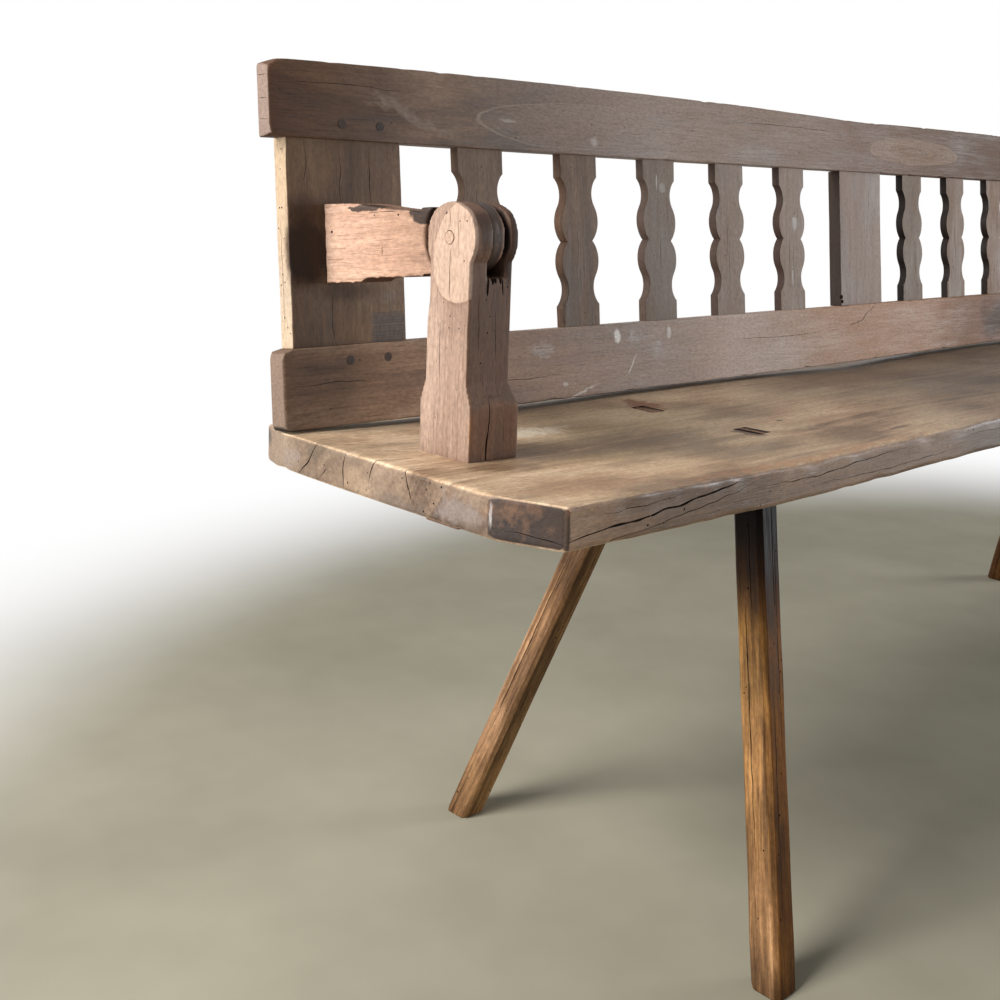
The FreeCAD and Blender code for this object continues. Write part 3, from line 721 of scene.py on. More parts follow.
def clipped(x, clip):
    """How far a clipped corner draws the seat's edge in, with a worn turn where it starts."""
    along, across = clip
    gap = SEAT_END - abs(x)
    if gap > along - CLIP_TURN:
        return across / along * max(0.0, along + CLIP_TURN - gap) ** 2 / (4 * CLIP_TURN)
    return across * (1 - gap / along)


def seat_point(spot):
    x, y, through = spot
    front = mm(between(FRONT_WARP, x)) * smooth(-y, 0.0, SEAT_HALF)
    rear = mm(between(REAR_WARP, x)) * smooth(y, 0.02, SEAT_HALF)
    return Vector((x, y, min(through + seat_lift(x) + front + rear, SEAT_HIGH.z)))


def leg_signs(name):
    return (1 if "right" in name else -1), (1 if "rear" in name else -1)


def leg_middle(name, level):
    """Where a leg's centre line is at a level."""
    share = level / SEAT_UNDER
    return [
        sign * (foot + (head - foot) * share)
        for sign, foot, head in zip(leg_signs(name), LEG_FOOT, LEG_HEAD)
    ]


def rectangle_at(middle, size, z, grow=0.0):
    x, y = middle
    a, b = size[0] / 2 + grow, size[1] / 2 + grow
    return [(x - a, y - b, z), (x + a, y - b, z), (x + a, y + b, z), (x - a, y + b, z)]


def post_outer(side):
    """Where a post's outer cheek is."""
    low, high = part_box(side + "_post")
    return low.x if side == "left" else high.x


def make_seat():
    end, front, top = -SEAT_END, -SEAT_HALF, SEAT_TOP
    mesh = board(
        (end, SEAT_END),
        lambda x: front + clipped(x, FRONT_CLIP),
        lambda x: SEAT_HALF - clipped(x, REAR_CLIP),
        (SEAT_UNDER, top),
        seat_point, seed=1.0, step=0.008, arris=0.0042, rounding=0.004, points=(26, 4),
        extra=[side * (SEAT_END - clip[0] + gap)
               for side in (-1, 1) for clip in (FRONT_CLIP, REAR_CLIP)
               for gap in (-CLIP_TURN, 0.0, CLIP_TURN)],
    )
    weather(mesh, 4.2, 0.0005, 0.0002, scale=(3.5, 16, 16))
    arris_dents(mesh, 5, (-0.9, front, top), (0.9, front, top), (0, 1, -1), 46,
                (0.006, 0.016), (0.0006, 0.0022))
    arris_dents(mesh, 6, (-0.9, SEAT_HALF, top), (0.9, SEAT_HALF, top), (0, -1, -1), 26)
    arris_dents(mesh, 7, (end, -0.12, SEAT_HIGH.z), (end, 0.14, SEAT_HIGH.z), (1, 0, -1), 12,
                (0.005, 0.012))
    arris_dents(mesh, 8, (-0.9, front, SEAT_UNDER), (0.9, front, SEAT_UNDER), (0, 1, 1), 22)
    dent(mesh, [
        ((-0.6, front, top), 0.01, 0.0026, (0, 1, -0.6)),
        ((-0.407, front, top), 0.012, 0.0028, (0, 1, -0.6)),
        ((-0.9325, 0.139, 0.427), 0.012, 0.0024, (1, -0.8, 0.6)),
    ])
    seat = as_object("seat", mesh)
    cutter = bmesh.new()
    cracks(cutter, END_SPLITS, lambda y, z: (end, y, z), (1, 0, 0), 0.006, 20, 0.0009)
    cracks(cutter, TOP_SPLITS, lambda x, y: seat_point((x, y, top)), (0, 0, -1), 0.005, 40)
    cracks(cutter, FRONT_SPLITS, lambda x, z: (x, front, z), (0, 1, 0), 0.005, 60, 0.0008)
    along, across = FRONT_CLIP
    points = [
        (end + along * share, front + across * (1 - share), z)
        for share, z in ((0.25, 0.436), (0.75, 0.434), (1.0, 0.431))
    ]
    crack(cutter, points, (across, along, 0), 0.004, 0.0009, 75)
    luck = random.Random(9)
    pits(cutter, luck, 34, ((-0.93, 0.3), front, (0.424, 0.447)), (0, 1, 0), (0.0006, 0.0011), 0.004)
    pits(cutter, luck, 12, (end, (-0.11, 0.12), (0.431, 0.456)), (1, 0, 0), (0.0006, 0.001), 0.004)
    for leg in LEGS:
        skin(cutter, [
            rectangle_at(leg_middle(leg, z), LEG_TENON, z, 0.0003)
            for z in (SEAT_UNDER - 0.008, top + 0.012)
        ])
    for side, sign in SIGNS.items():
        middle = post_outer(side) - sign * POST_TENON[0] / 2
        skin(cutter, [
            rectangle_at((middle, 0), POST_TENON, z, 0.0001)
            for z in (SEAT_UNDER - 0.008, SEAT_HIGH.z + 0.01)
        ])
    carve(seat, cutter, SPLIT)
    return seat


# Legs

LEGS = ("leg_front_left", "leg_rear_left", "leg_front_right", "leg_rear_right")
# A face, how far across it, from and to which height, all in metres, and a width in mm
LEG_SPLITS = [
    ("front", 0.002, 0.3, 0.414, 1.2), ("front", -0.004, 0.06, 0.22, 0.7),
    ("outside", 0.003, 0.1, 0.3, 1.1), ("outside", -0.004, 0.28, 0.4, 0.8),
    ("inside", 0.001, 0.15, 0.33, 0.9), ("front", 0.005, 0.18, 0.36, 0.8),
]


def leg_size(z):
    """How thick a leg is at a level."""
    return LEG_SIZE + LEG_GROWTH * z / SEAT_UNDER


def octagon_ring(middle, half, cut, radius, level):
    """A rectangle with cut corners, worn round."""
    (x, y), (a, b) = middle, half
    corners = [
        (x + a - cut, y + b), (x - a + cut, y + b), (x - a, y + b - cut), (x - a, y - b + cut),
        (x - a + cut, y - b), (x + a - cut, y - b), (x + a, y - b + cut), (x + a, y + b - cut),
    ]
    outline = section(corners, [radius] * 8, (4, 1) * 4, 0.001)
    return [Vector((point.x, point.y, level)) for point in outline]


def make_leg(name, seed):
    rounding = 0.0025
    rings = []
    for z in stations(0.0, SEAT_UNDER + rounding, 0.009, rounding)[:-4] + [SEAT_UNDER]:
        inset = end_inset(z, 0.0, 10.0, rounding)
        x, y = leg_middle(name, z)
        middle = x + 0.0007 * wander(z, seed, 9), y + 0.0007 * wander(z, seed + 3, 9)
        size = leg_size(z) - 0.0001 - 0.0003 * abs(wander(z, seed + 1, 12)) - 2 * inset
        cut = 0.005 + 0.0012 * wander(z, seed + 2, 15) - 0.4 * inset
        rings.append(octagon_ring(middle, (size / 2, size / 2), cut, 0.0007, z))
    for z, trim in ((SEAT_UNDER, 0.0003), (SEAT_TOP - 0.0012, 0.0003), (SEAT_TOP - 0.0004, 0.001)):
        half = [size / 2 - trim for size in LEG_TENON]
        rings.append(octagon_ring(leg_middle(name, z), half, 0.002, 0.0005, z + 0.00002))
    mesh = swept(rings)
    weather(mesh, seed + 0.6, 0.0002, 0.0001, scale=(22, 22, 5))
    return as_object(name + "_wood", mesh)


def cut_leg(leg, name, seed):
    side = leg_signs(name)[0]
    inwards = {"front": (0, 1, 0), "outside": (-side, 0, 0), "inside": (side, 0, 0)}

    def on_face(z, across, face):
        x, y = leg_middle(name, z)
        size = leg_size(z) / 2 - 0.0008
        if face == "front":
            return (x + across, y - size, z)
        return (x + (side if face == "outside" else -side) * size, y + across, z)

    cutter = bmesh.new()
    wedge_low, wedge_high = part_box(name.replace("leg_", "leg_wedge_"))
    skin(cutter, [
        rectangle_at(leg_middle(name, z), (width, 0.06), z)
        for z, width in ((wedge_low.z - 0.0005, 0.0012), (wedge_high.z + 0.002, 0.0036))
    ])
    for number, (face, across, bottom, top, width) in enumerate(LEG_SPLITS, seed):
        levels = [bottom + (top - bottom) * step / 5 for step in range(6)]
        points = [on_face(z, across + 0.0012 * wander(z, number, 14), face) for z in levels]
        crack(cutter, points, inwards[face], 0.0045, mm(width), number, 0.0004)
    luck = random.Random(seed)
    for _ in range(16):
        face = luck.choice(["front", "outside", "inside"])
        z = luck.uniform(0.02, 0.4)
        pit(cutter, on_face(z, luck.uniform(-0.009, 0.009), face), inwards[face],
            luck.uniform(0.0006, 0.0011), 0.004)
    carve(leg, cutter, SPLIT)


# Posts and arms start from their nodes' own shapes

# A face, a width and places in mm, as (in from the outer cheek, Z), or (Y, Z) on the cheek
POST_SPLITS = [
    ("head", 3.6, (21.2, 606), (20.8, 588)),
    ("head", 2.2, (36.5, 606), (37.0, 588)),
    ("head", 4.0, (25.0, 606), (25.5, 596.5)),
    ("head", 4.2, (29.5, 606), (29.0, 597.5)),
    ("head", 4.0, (33.5, 606), (34.0, 597)),
    ("foot", 2.2, (21.8, 509), (21.5, 493), (19.0, 473), (18.4, 452)),
    ("head", 0.6, (30.0, 575), (31.0, 535)),
    ("head", 0.5, (12.0, 590), (12.5, 545)),
    ("cheek", 0.8, (1.5, 657), (-1.3, 642)),
    ("cheek", 0.7, (-1.4, 625), (-1.9, 585)),
    ("cheek", 0.5, (-9.8, 656), (-11.2, 636), (-11.6, 618)),
    ("cheek", 0.6, (8, 565), (7.5, 520)),
]
POST_FRONT = {"head": -0.0247, "foot": -0.0307}
ARM_SPLITS = [(0.6, (78, -4), (79, -11)), (0.6, (60, 23.5), (75, 25), (92, 24.5))]
ARM_HOLES = [(0.135, 0.01, 0.0011), (0.06, 0.021, 0.0009), (0.086, 0.022, 0.0007)]


def softened(node, name, change):
    """A copy of a node with its edges worn round, reshaped, with fewer faces where it is flat."""
    mesh = bmesh.new()
    mesh.from_mesh(frame["nodes"][node].data)
    bmesh.ops.remove_doubles(mesh, verts=mesh.verts, dist=0.00001)
    piece = as_object(name, mesh)
    modified(piece, "REMESH", mode="VOXEL", voxel_size=0.0015)
    modified(piece, "SMOOTH", factor=0.5, iterations=2)
    for vertex in piece.data.vertices:
        vertex.co = change(vertex.co.copy())
    modified(piece, "DECIMATE", ratio=0.5)
    return piece


def clear_bore(piece, x, sign):
    """Clean the bore for the pin, with a thin shadow gap round it."""
    cutter = bmesh.new()
    radius = PIN_DIAMETER / 2 + 0.0005
    turns = [math.tau * index / 40 for index in range(40)]
    skin(cutter, [
        [(x + sign * offset, math.cos(turn) * radius, PIVOT.z + math.sin(turn) * radius)
         for turn in turns]
        for offset in (0.004, -0.06)
    ])
    carve(piece, cutter, SPLIT)


def facet_distance(y, z):
    """How far outside the flat oval on a post's outer cheek a point is, 1 on its edge."""
    dy, dz = y - FACET_CENTRE[0], z - FACET_CENTRE[1]
    a = dy * math.cos(FACET_TURN) - dz * math.sin(FACET_TURN)
    b = dy * math.sin(FACET_TURN) + dz * math.cos(FACET_TURN)
    across = FACET_RADII[0] * (1 if a > 0 else FACET_FRONT_STRETCH)
    return math.hypot(a / across, b / FACET_RADII[1])


def make_post(side, seed):
    sign, outer = SIGNS[side], post_outer(side)
    cheek = (-sign, 0, 0)

    def change(point):
        gap = abs(point.x - outer)
        if point.z > HEAD_HEIGHT and gap < FACET_DEPTH:
            beyond = max(0.0, facet_distance(point.y, point.z) - 1.0)
            sink = min(0.0035, 0.0012 * smooth(beyond, 0.0, 0.06) + 0.01 * beyond ** 2)
            point.x -= sign * sink * (1 - gap / FACET_DEPTH) * smooth(point.z, HEAD_HEIGHT, 0.6)
        # the head's worn top
        point.z -= 0.0026 * smooth(point.z, PIVOT.z + 0.018, PIVOT.z + 0.031)
        rough = unit_noise((point.x * 60, point.y * 60, point.z * 9 + seed))
        fine = unit_noise((point.x * 220, point.y * 220, point.z * 30 + seed))
        towards = Vector((outer - sign * 0.0235 - point.x, -point.y, 0))
        if towards.length > 0 and point.z > 0.452:
            point += towards.normalized() * (0.0003 * rough + 0.0002 * fine)
        return point

    def on_face(face, a, z):
        if face == "cheek":
            return (outer, a, z)
        return (outer - sign * a, POST_FRONT[face], z)

    post = softened(side + "_post", side + "_post_wood", change)
    cutter = bmesh.new()
    for number, (face, width, *line) in enumerate(POST_SPLITS, 90):
        points = [on_face(face, mm(a), mm(z)) for a, z in line]
        points = points[:1] + [
            tuple(a + (b - a) * share for a, b in zip(*pair))
            for pair in zip(points, points[1:]) for share in (0.5, 1.0)
        ]
        inwards = cheek if face == "cheek" else (0, 1, 0)
        crack(cutter, points, inwards, 0.006, mm(width), number, 0.0005)
    pit(cutter, (outer, 0.0045, 0.6525), cheek, 0.0014, 0.002)
    pit(cutter, (outer, -0.012, 0.6465), cheek, 0.0007, 0.003)
    luck = random.Random(int(seed))
    pits(cutter, luck, 9, (outer, (-0.022, 0.02), (0.47, 0.65)), cheek, (0.0005, 0.0008), 0.003)
    pits(cutter, luck, 7, ((0.004, 0.042), 0, (0.53, 0.595)), (0, 1, 0), (0.0005, 0.0009), 0.003,
         lambda spot: on_face("head", spot[0], spot[2]))
    carve(post, cutter, SPLIT)
    clear_bore(post, outer, sign)
    return post


def make_arm(side, seed):
    sign = SIGNS[side]

    def change(point):
        spot = unlean(point)
        # the shoulder follows the post's round head
        if abs(spot.x) > TONGUE_SIDE and 0.03 < spot.y < SHOULDER_END:
            round_head = math.sqrt(SHOULDER_RADIUS ** 2 - min(abs(spot.z), 0.026) ** 2)
            share = min(1.0, (SHOULDER_END - spot.y) / (SHOULDER_END - SHOULDER))
            spot.y -= (SHOULDER - round_head) * share
        if 0.036 < spot.y < STILE_FRONT + 0.001:
            spot.z -= 0.0022 * smooth(-spot.z, 0.008, 0.02)
            spot.x += sign * 0.0012 * smooth(spot.y, 0.05, 0.12) * smooth(abs(spot.x), 0.865, 0.875)
        if 0.034 < spot.y < STILE_FRONT - 0.0005:
            rough = unit_noise((spot.x * 60, spot.y * 12 + seed, spot.z * 60))
            fine = unit_noise((spot.x * 200, spot.y * 40 + seed, spot.z * 200))
            towards = Vector((sign * ARM_CENTRE - spot.x, 0, -spot.z)).normalized()
            spot += towards * (0.0001 * rough + 0.0001 * fine)
            # the top's waney edge
            if spot.z > 0.018:
                wane = smooth(noise.noise(Vector((spot.y * 45, seed, 0))), -0.1, 0.6)
                worn_end = smooth(spot.y, 0.056, 0.04)
                spot.z -= 0.001 * wane + 0.003 * worn_end * smooth(spot.z, 0.018, 0.026)
        return lean(spot)

    def on_cheek(u, v):
        return lean((sign * (ARM_CHEEK + ARM_SLANT * (u - SHOULDER) / ARM_RUN), u, v))

    arm = softened(side + "_arm", side + "_arm_wood", change)
    cutter = bmesh.new()
    cracks(cutter, ARM_SPLITS, on_cheek, (-sign, 0.15, 0), 0.003, 120, 0.0004)
    for u, v, radius in ARM_HOLES:
        pit(cutter, on_cheek(u, v), (-sign, 0.15, 0), radius, 0.004)
    carve(arm, cutter, SPLIT)
    clear_bore(arm, sign * 0.9, sign)
    return arm


# Rails, stiles and splats. Splits in mm: a width and places, as (X, v)

TOP_RAIL_SPLITS = [
    (0.6, (-930, 136), (-860, 139), (-800, 137)),
    (0.6, (-156, 110.5), (-140.5, 107.5)),
    (0.6, (350, 105), (470, 108), (600, 104)),
    (0.6, (-300, 140.5), (-150, 142), (-20, 139.5)),
]
LOWER_RAIL_SPLITS = [
    (1.4, (29.8, -90.5), (1, -103), (-5.5, -110), (-39, -115)),
    (0.6, (-720, -135), (-650, -137), (-600, -135.5)),
    (0.6, (-300, -118), (-180, -121), (-100, -119)),
    (0.7, (-927, -121), (-880, -120), (-850, -121.5)),
    (0.8, (450, -130), (600, -128), (700, -131)),
]
CENTRE_SPLITS = [(0.5, (-30, 40), (-28, -10), (-31, -50)), (0.5, (20, 70), (22, 30))]
STILE_SPLITS = [
    (0.8, (868.5, 75), (867.2, 64), (869.5, 50), (868, 36)),
    (0.8, (905, 88), (903, 70), (906, 55)),
    (0.8, (835, 80), (837, 50), (834, 30)),
    (0.8, (880, -45), (882, -70), (879, -87)),
]


def drawn_back(spot):
    """(along X, across v, through u) to a point in the frame."""
    x, v, u = spot
    return lean((x, u, v))


def drawn_upright(spot):
    """(along v, across X, through u) to a point in the frame."""
    v, x, u = spot
    return lean((x, u, v))


def drill_pegs(cutter, node, front):
    """Shallow seats round the pegs, whose places come from their node."""
    groups = []
    for spot in drawn_vertices(node):
        near = [group for group in groups if abs(group[0].x - spot.x) < PEG_DIAMETER * 1.5]
        if near:
            near[0].append(spot)
        else:
            groups.append([spot])
    for x, v in sorted(((low.x + high.x) / 2, (low.z + high.z) / 2)
                       for low, high in map(corners_of, groups)):
        pit(cutter, lean((x, front, v)), BACKWARDS, 0.0044, 0.0014)


def make_rail(name, under, over, seed, arris, rounding, clouds, knocks, dents, splits, holes):
    """A rail between its two edges. clouds are weather's seed and depth, each knock a level, a
    slope and a count, splits their lines, depth, seed and levels on the rail's end, and holes a
    seed, a count and two levels."""
    low, high = extent(name)
    half, front = high.x, low.y
    mesh = board(
        (-half, half), under, over, (front, high.y),
        drawn_back, seed=seed, step=0.009, arris=arris, rounding=rounding, points=(8, 2),
    )
    weather(mesh, *clouds, 0.0002, scale=(4, 18, 18))
    for number, (level, rise, count) in enumerate(knocks, int(seed) + 1):
        ends = lean((-half, front, level)), lean((half, front, level))
        arris_dents(mesh, number, *ends, (0, 1, rise), count)
    dent(mesh, dents)
    rail = as_object(name + "_wood", mesh)
    cutter = bmesh.new()
    drill_pegs(cutter, name + "_pegs", front)
    lines, depth, number, end_levels = splits
    cracks(cutter, lines, lambda x, v: lean((x, front, v)), BACKWARDS, depth, number, 0.0005)
    for number, v in enumerate(end_levels, 150):
        points = [lean((-half, front + share * 0.018, v + 0.002 * share)) for share in (0.1, 0.5, 0.9)]
        crack(cutter, points, (1, 0, 0), 0.003, 0.0005, number, 0.0003)
    luck, count, levels = holes
    pits(cutter, random.Random(luck), count, ((-0.93, 0.93), front, levels), BACKWARDS,
         (0.0005, 0.0009), 0.003, lean)
    carve(rail, cutter, SPLIT)
    return rail


def make_top_rail():
    low, high = extent("top_rail")
    half, front, level = high.x, low.y, low.z
    middle, end, hump = 0.1585, 0.156, 0.162

    def under(x):
        return level + 0.0003 * wander(x, 3, 6)

    def over(x):
        share = abs(x) / half
        arc = middle + (end - middle) * share + (hump - (middle + end) / 2) * 4 * share * (1 - share)
        return arc - 0.0006 + 0.0004 * wander(x, 5, 8) - 0.0035 * smooth(half - abs(x), 0.009, 0.0)

    dents = [
        (lean((-half, front, 0.154)), 0.01, 0.0032, (1, 0.5, -0.8)),
        (lean((-half, front, level)), 0.009, 0.0032, (1, 0.3, 1)),
    ]
    return make_rail(
        "top_rail", under, over, 31.0, 0.0019, 0.0024, (8.8, 0.0006),
        [(0.16, -1, 36), (level, 1, 18)], dents,
        (TOP_RAIL_SPLITS, 0.003, 140, (0.104, 0.121, 0.141)), (36, 26, (0.095, 0.15)),
    )


def make_lower_rail():
    high = extent("lower_rail")[1]
    half, top, level = high.x, high.z, -0.1585

    def under(x):
        bow = 0.006 * (1 - (x / half) ** 2)
        ends = 0.003 * smooth(half - abs(x), 0.006, 0.0) ** 2
        return level - bow + ends + 0.0003 * wander(x, 7, 7)

    def over(x):
        return top - 0.0004 + 0.0003 * wander(x, 9, 6) - 0.006 * smooth(half - abs(x), 0.008, 0) ** 2

    return make_rail(
        "lower_rail", under, over, 37.0, 0.0018, 0.0036, (2.9, 0.0004),
        [(top, -1, 30), (level - 0.004, 1, 24)], [],
        (LOWER_RAIL_SPLITS, 0.004, 160, ()), (41, 24, (-0.15, -0.095)),
    )


def cut_end_stile(cutter, sign, edge, seed):
    """An end stile's splits, insect holes and mortise for the arm's tenon."""
    inwards = (-sign, 0, 0)
    cracks(cutter, STILE_SPLITS, lambda x, v: lean((sign * x, STILE_FRONT, v)), BACKWARDS, 0.003, 190)
    pits(cutter, random.Random(seed), 15, (edge, (0.003, 0.015), (-0.085, 0.088)), inwards,
         (0.0006, 0.0011), 0.004, lambda spot: lean((spot[0], STILE_FRONT + spot[1], spot[2])))
    line = [lean((edge, u, v)) for u, v in ((0.155, 0.02), (0.1545, -0.03), (0.1555, -0.08))]
    crack(cutter, line, inwards, 0.004, 0.0008, 199, 0.0004)
    skin(cutter, [
        [lean((sign * ARM_CENTRE + a * (ARM_TENON[0] / 2 + 0.0002), u, b * (ARM_TENON[1] / 2 + 0.0002)))
         for a, b in ((-1, -1), (1, -1), (1, 1), (-1, 1))]
        for u in (STILE_FRONT - 0.003, STILE_FRONT + STILE_THICK + 0.003)
    ])


def make_stile(node, seed):
    low, high = extent(node)
    top, bottom = extent("top_rail")[0].z, extent("lower_rail")[1].z
    middle, half = (low.x + high.x) / 2, (high.x - low.x) / 2
    sign = 1 if "right" in node else -1
    edge = high.x if sign > 0 else low.x
    mesh = board(
        (bottom - 0.001, top + 0.001),
        lambda v: middle - half + 0.0003 + 0.0003 * wander(v, seed, 20),
        lambda v: middle + half - 0.0003 + 0.0003 * wander(v, seed + 2, 20),
        (STILE_FRONT, STILE_FRONT + STILE_THICK),
        drawn_upright, seed=seed, step=0.007, arris=0.0017, rounding=0.0008, points=(14, 2),
    )
    weather(mesh, seed + 1.5, 0.0006, 0.0002, scale=(18, 18, 7))
    arris_dents(mesh, int(seed), lean((edge, STILE_FRONT, bottom)), lean((edge, STILE_FRONT, top)),
                (-sign, 0.6, 0), 10, (0.004, 0.009), (0.0005, 0.0014))
    stile = as_object(node + "_wood", mesh)
    cutter = bmesh.new()
    if "centre" in node:
        cracks(cutter, CENTRE_SPLITS, lambda x, v: lean((x, STILE_FRONT, v)), BACKWARDS, 0.003, 180)
        for x, v, radius in ((-0.0515, -0.077, 0.0035), (-0.05, -0.083, 0.003)):
            pit(cutter, lean((x, STILE_FRONT, v)), (0.5, 1, 0), radius, 0.002)
    else:
        cut_end_stile(cutter, sign, edge, int(seed) + 4)
    carve(stile, cutter, SPLIT)
    return stile


def splat_half(level, extra):
    """Half the splat's width at a level from its middle."""
    level = abs(level)
    if level >= SPLAT_BLOCK:
        return SPLAT_WIDTH / 2 + extra
    waist = level >= SPLAT_CUSP
    x, y, radius = SPLAT_WAIST_ARC if waist else SPLAT_BELLY_ARC
    reach = math.sqrt(max(0.0, radius ** 2 - (level - y) ** 2))
    return (x - reach if waist else x + reach) + extra


def make_splat(number):
    node = f"splat_{number}"
    low, high = extent(node)
    luck = random.Random(300 + number)
    middle, centre, front = (low.x + high.x) / 2, (low.z + high.z) / 2, low.y
    shifts = [luck.uniform(-0.0012, 0.0012) for _ in range(2)]
    widest = (high.x - low.x) / 2
    stretch = 1 + luck.uniform(-0.015, 0.015)

    def edge(level, sign):
        moved = (level - centre) * stretch + shifts[0 if sign < 0 else 1]
        width = splat_half(moved, widest - SPLAT_BELLY / 2) + 0.0005 * wander(level, number + sign, 25)
        return min(width, widest)

    mesh = board(
        (low.z + 0.0012, high.z - 0.0012),
        lambda v: middle - edge(v, -1) + 0.0002,
        lambda v: middle + edge(v, 1) - 0.0002,
        (front, high.y),
        drawn_upright, seed=40.0 + number, step=0.0026, arris=0.0009, rounding=0.0006, points=(7, 1),
        extra=[centre + (level - shift) / stretch for shift in shifts
               for level in (-SPLAT_BLOCK, -SPLAT_CUSP, 0.0, SPLAT_CUSP, SPLAT_BLOCK)],
    )
    weather(mesh, 50.0 + number * 1.7, 0.00015, 0.0001, scale=(18, 18, 8))
    arris_dents(mesh, 320 + number, lean((low.x, front, low.z)), lean((low.x, front, high.z)),
                (1, 0.5, 0), 7, (0.003, 0.007), (0.0004, 0.0012))
    splat = as_object(f"{node}_wood", mesh)
    cutter = bmesh.new()
    for index in range(2):
        x = middle + luck.uniform(-0.014, 0.014)
        start = centre + luck.uniform(-0.07, 0.02)
        length = luck.uniform(0.025, 0.06)
        points = [
            lean((x + 0.001 * wander(step, number, 1), front, start + length * step / 3))
            for step in range(4)
        ]
        crack(cutter, points, BACKWARDS, 0.002, 0.0005, 340 + number * 3 + index, 0.0003)
    pits(cutter, luck, 3, ((-0.015, 0.015), 0, (-0.08, 0.08)), BACKWARDS, (0.0005, 0.0009), 0.003,
         lambda spot: lean((middle + spot[0], front, centre + spot[2])))
    carve(splat, cutter, SPLIT)
    return splat


# Materials of each group

def seat_material():
    end, half, top = -SEAT_END, SEAT_HALF, 0.45
    along, across = FRONT_CLIP
    marks = [
        # Painted shade on the front, the left end, the clip and the corner beside it, and painted light
        # and shade along the seat, darker towards the right.
        facing((0, -1, 0), (0.53, 0.45, 0.41), 0.9),
        graded_colour(0, [
            (-0.93, (1.5, 1.5, 1.49)), (-0.75, (1.32, 1.3, 1.26)), (-0.55, (1.2, 1.2, 1.2)),
            (-0.35, (1.02, 1.01, 1.02)), (-0.1, (0.52, 0.52, 0.54)), (0.3, (0.41, 0.4, 0.39)),
        ]),
        facing((-1, 0, 0), (0.333, 0.32, 0.33), 1.0, 0.6, 0.97),
        facing((-0.92, -0.39, 0), (0.11, 0.075, 0.065), 1.0, 0.955, 0.985),
        facing((-0.6, -0.8, 0), (0.2, 0.16, 0.15), 1.0, 0.9, 0.97),
        ragged_multiply((end, -0.09, 0.43), (0.02, 0.045, 0.03), (0.5, 0.46, 0.46), 0.95, 0.7),
        ragged_multiply((-0.18, -half, 0.435), (0.3, 0.004, 0.03), (0.62, 0.63, 0.66), 1.0, 0.9, 0.1),
        ragged_mark((end, -0.02, 0.43), (0.02, 0.05, 0.012), (0.1, 0.075, 0.06), 0.6, 0.8, 0.5),
        ragged_mark((end, -0.085, 0.44), (0.02, 0.035, 0.016), (0.2, 0.165, 0.15), 0.6, 0.8, 0.5),
        ragged_mark((end, 0.03, 0.438), (0.02, 0.03, 0.018), (0.27, 0.19, 0.12), 0.5, 0.8, 0.5),
        ragged_mark((end, 0.125, 0.44), (0.02, 0.02, 0.016), (0.19, 0.15, 0.13), 0.6, 0.8, 0.5),
        # Painted highlight on the corner of the end and the clip, and painted shade on the corner of the
        # clip and the front.
        ragged_mark((end + 0.001, across - half, 0.446), (0.004, 0.0022, 0.015), (0.4, 0.37, 0.36),
              0.65, 0.9, 0.5),
        ragged_mark((end + along, -half, 0.438), (0.004, 0.004, 0.03), (0.035, 0.022, 0.015),
              0.85, 0.7, 0.15),
        ragged_mark((-0.86, -0.13, top), (0.1, 0.05, 0.04), (0.3, 0.15, 0.075), 0.45, 0.8),
        # Painted light behind the post.
        ragged_multiply((-0.87, 0.06, top), (0.07, 0.07, 0.02), (1.35, 1.4, 1.5), 0.9, 0.8),
        # Painted shade along the rear edge under the lower rail.
        ragged_mark((-0.62, half, top), (0.36, 0.034, 0.02), (0.018, 0.013, 0.01), 0.97, 0.2, 0.05),
        ragged_mark((-0.6, -0.168, top), (0.33, 0.012, 0.012), (0.33, 0.15, 0.065), 0.45, 0.9, 0.5),
        ragged_mark((-0.47, -0.075, top), (0.035, 0.03, 0.02), (0.4, 0.31, 0.19), 0.4, 0.9, 0.5),
        ragged_mark((-0.73, 0.045, top), (0.07, 0.03, 0.02), (0.62, 0.56, 0.45), 0.75, 0.9, 0.5),
        ragged_mark((-0.52, 0.085, top), (0.024, 0.036, 0.006), (0.16, 0.07, 0.04), 0.85),
        ragged_mark((-0.53, 0.058, top), (0.012, 0.01, 0.006), (0.03, 0.018, 0.012), 0.9),
        ragged_mark((-0.545, -0.068, top), (0.016, 0.024, 0.006), (0.06, 0.032, 0.02), 0.85, 0.6),
        ragged_mark((-0.62, 0.02, top), (0.16, 0.05, 0.02), (0.35, 0.27, 0.15), 0.35, 0.9),
        ragged_mark((-0.75, -0.07, top), (0.13, 0.03, 0.03), (0.38, 0.27, 0.14), 0.35, 0.9),
        ragged_mark((-0.4645, -0.049, top), (0.006, 0.003, 0.006), (0.03, 0.02, 0.015), 0.9),
        ragged_mark((-0.392, -0.14, top), (0.03, 0.003, 0.006), (0.05, 0.03, 0.02), 0.7),
        ragged_mark((-0.15, 0.06, top), (0.25, 0.05, 0.02), (0.16, 0.11, 0.075), 0.5, 0.9),
    ]
    tones = ((0.135, 0.083, 0.048), (0.31, 0.21, 0.135), (0.44, 0.33, 0.225))
    return wood("seat_wood", tones, ALONG_X, marks, seed=1.3, ring=0.012, stretch=16, bend=0.12,
                mottle=2.0, worn=(0.6, 0.47, 0.36), wear=0.8, upward=0.95,
                film=((0.4, 0.33, 0.23), 0.35), roughness=(0.42, 0.66), specular=0.35)
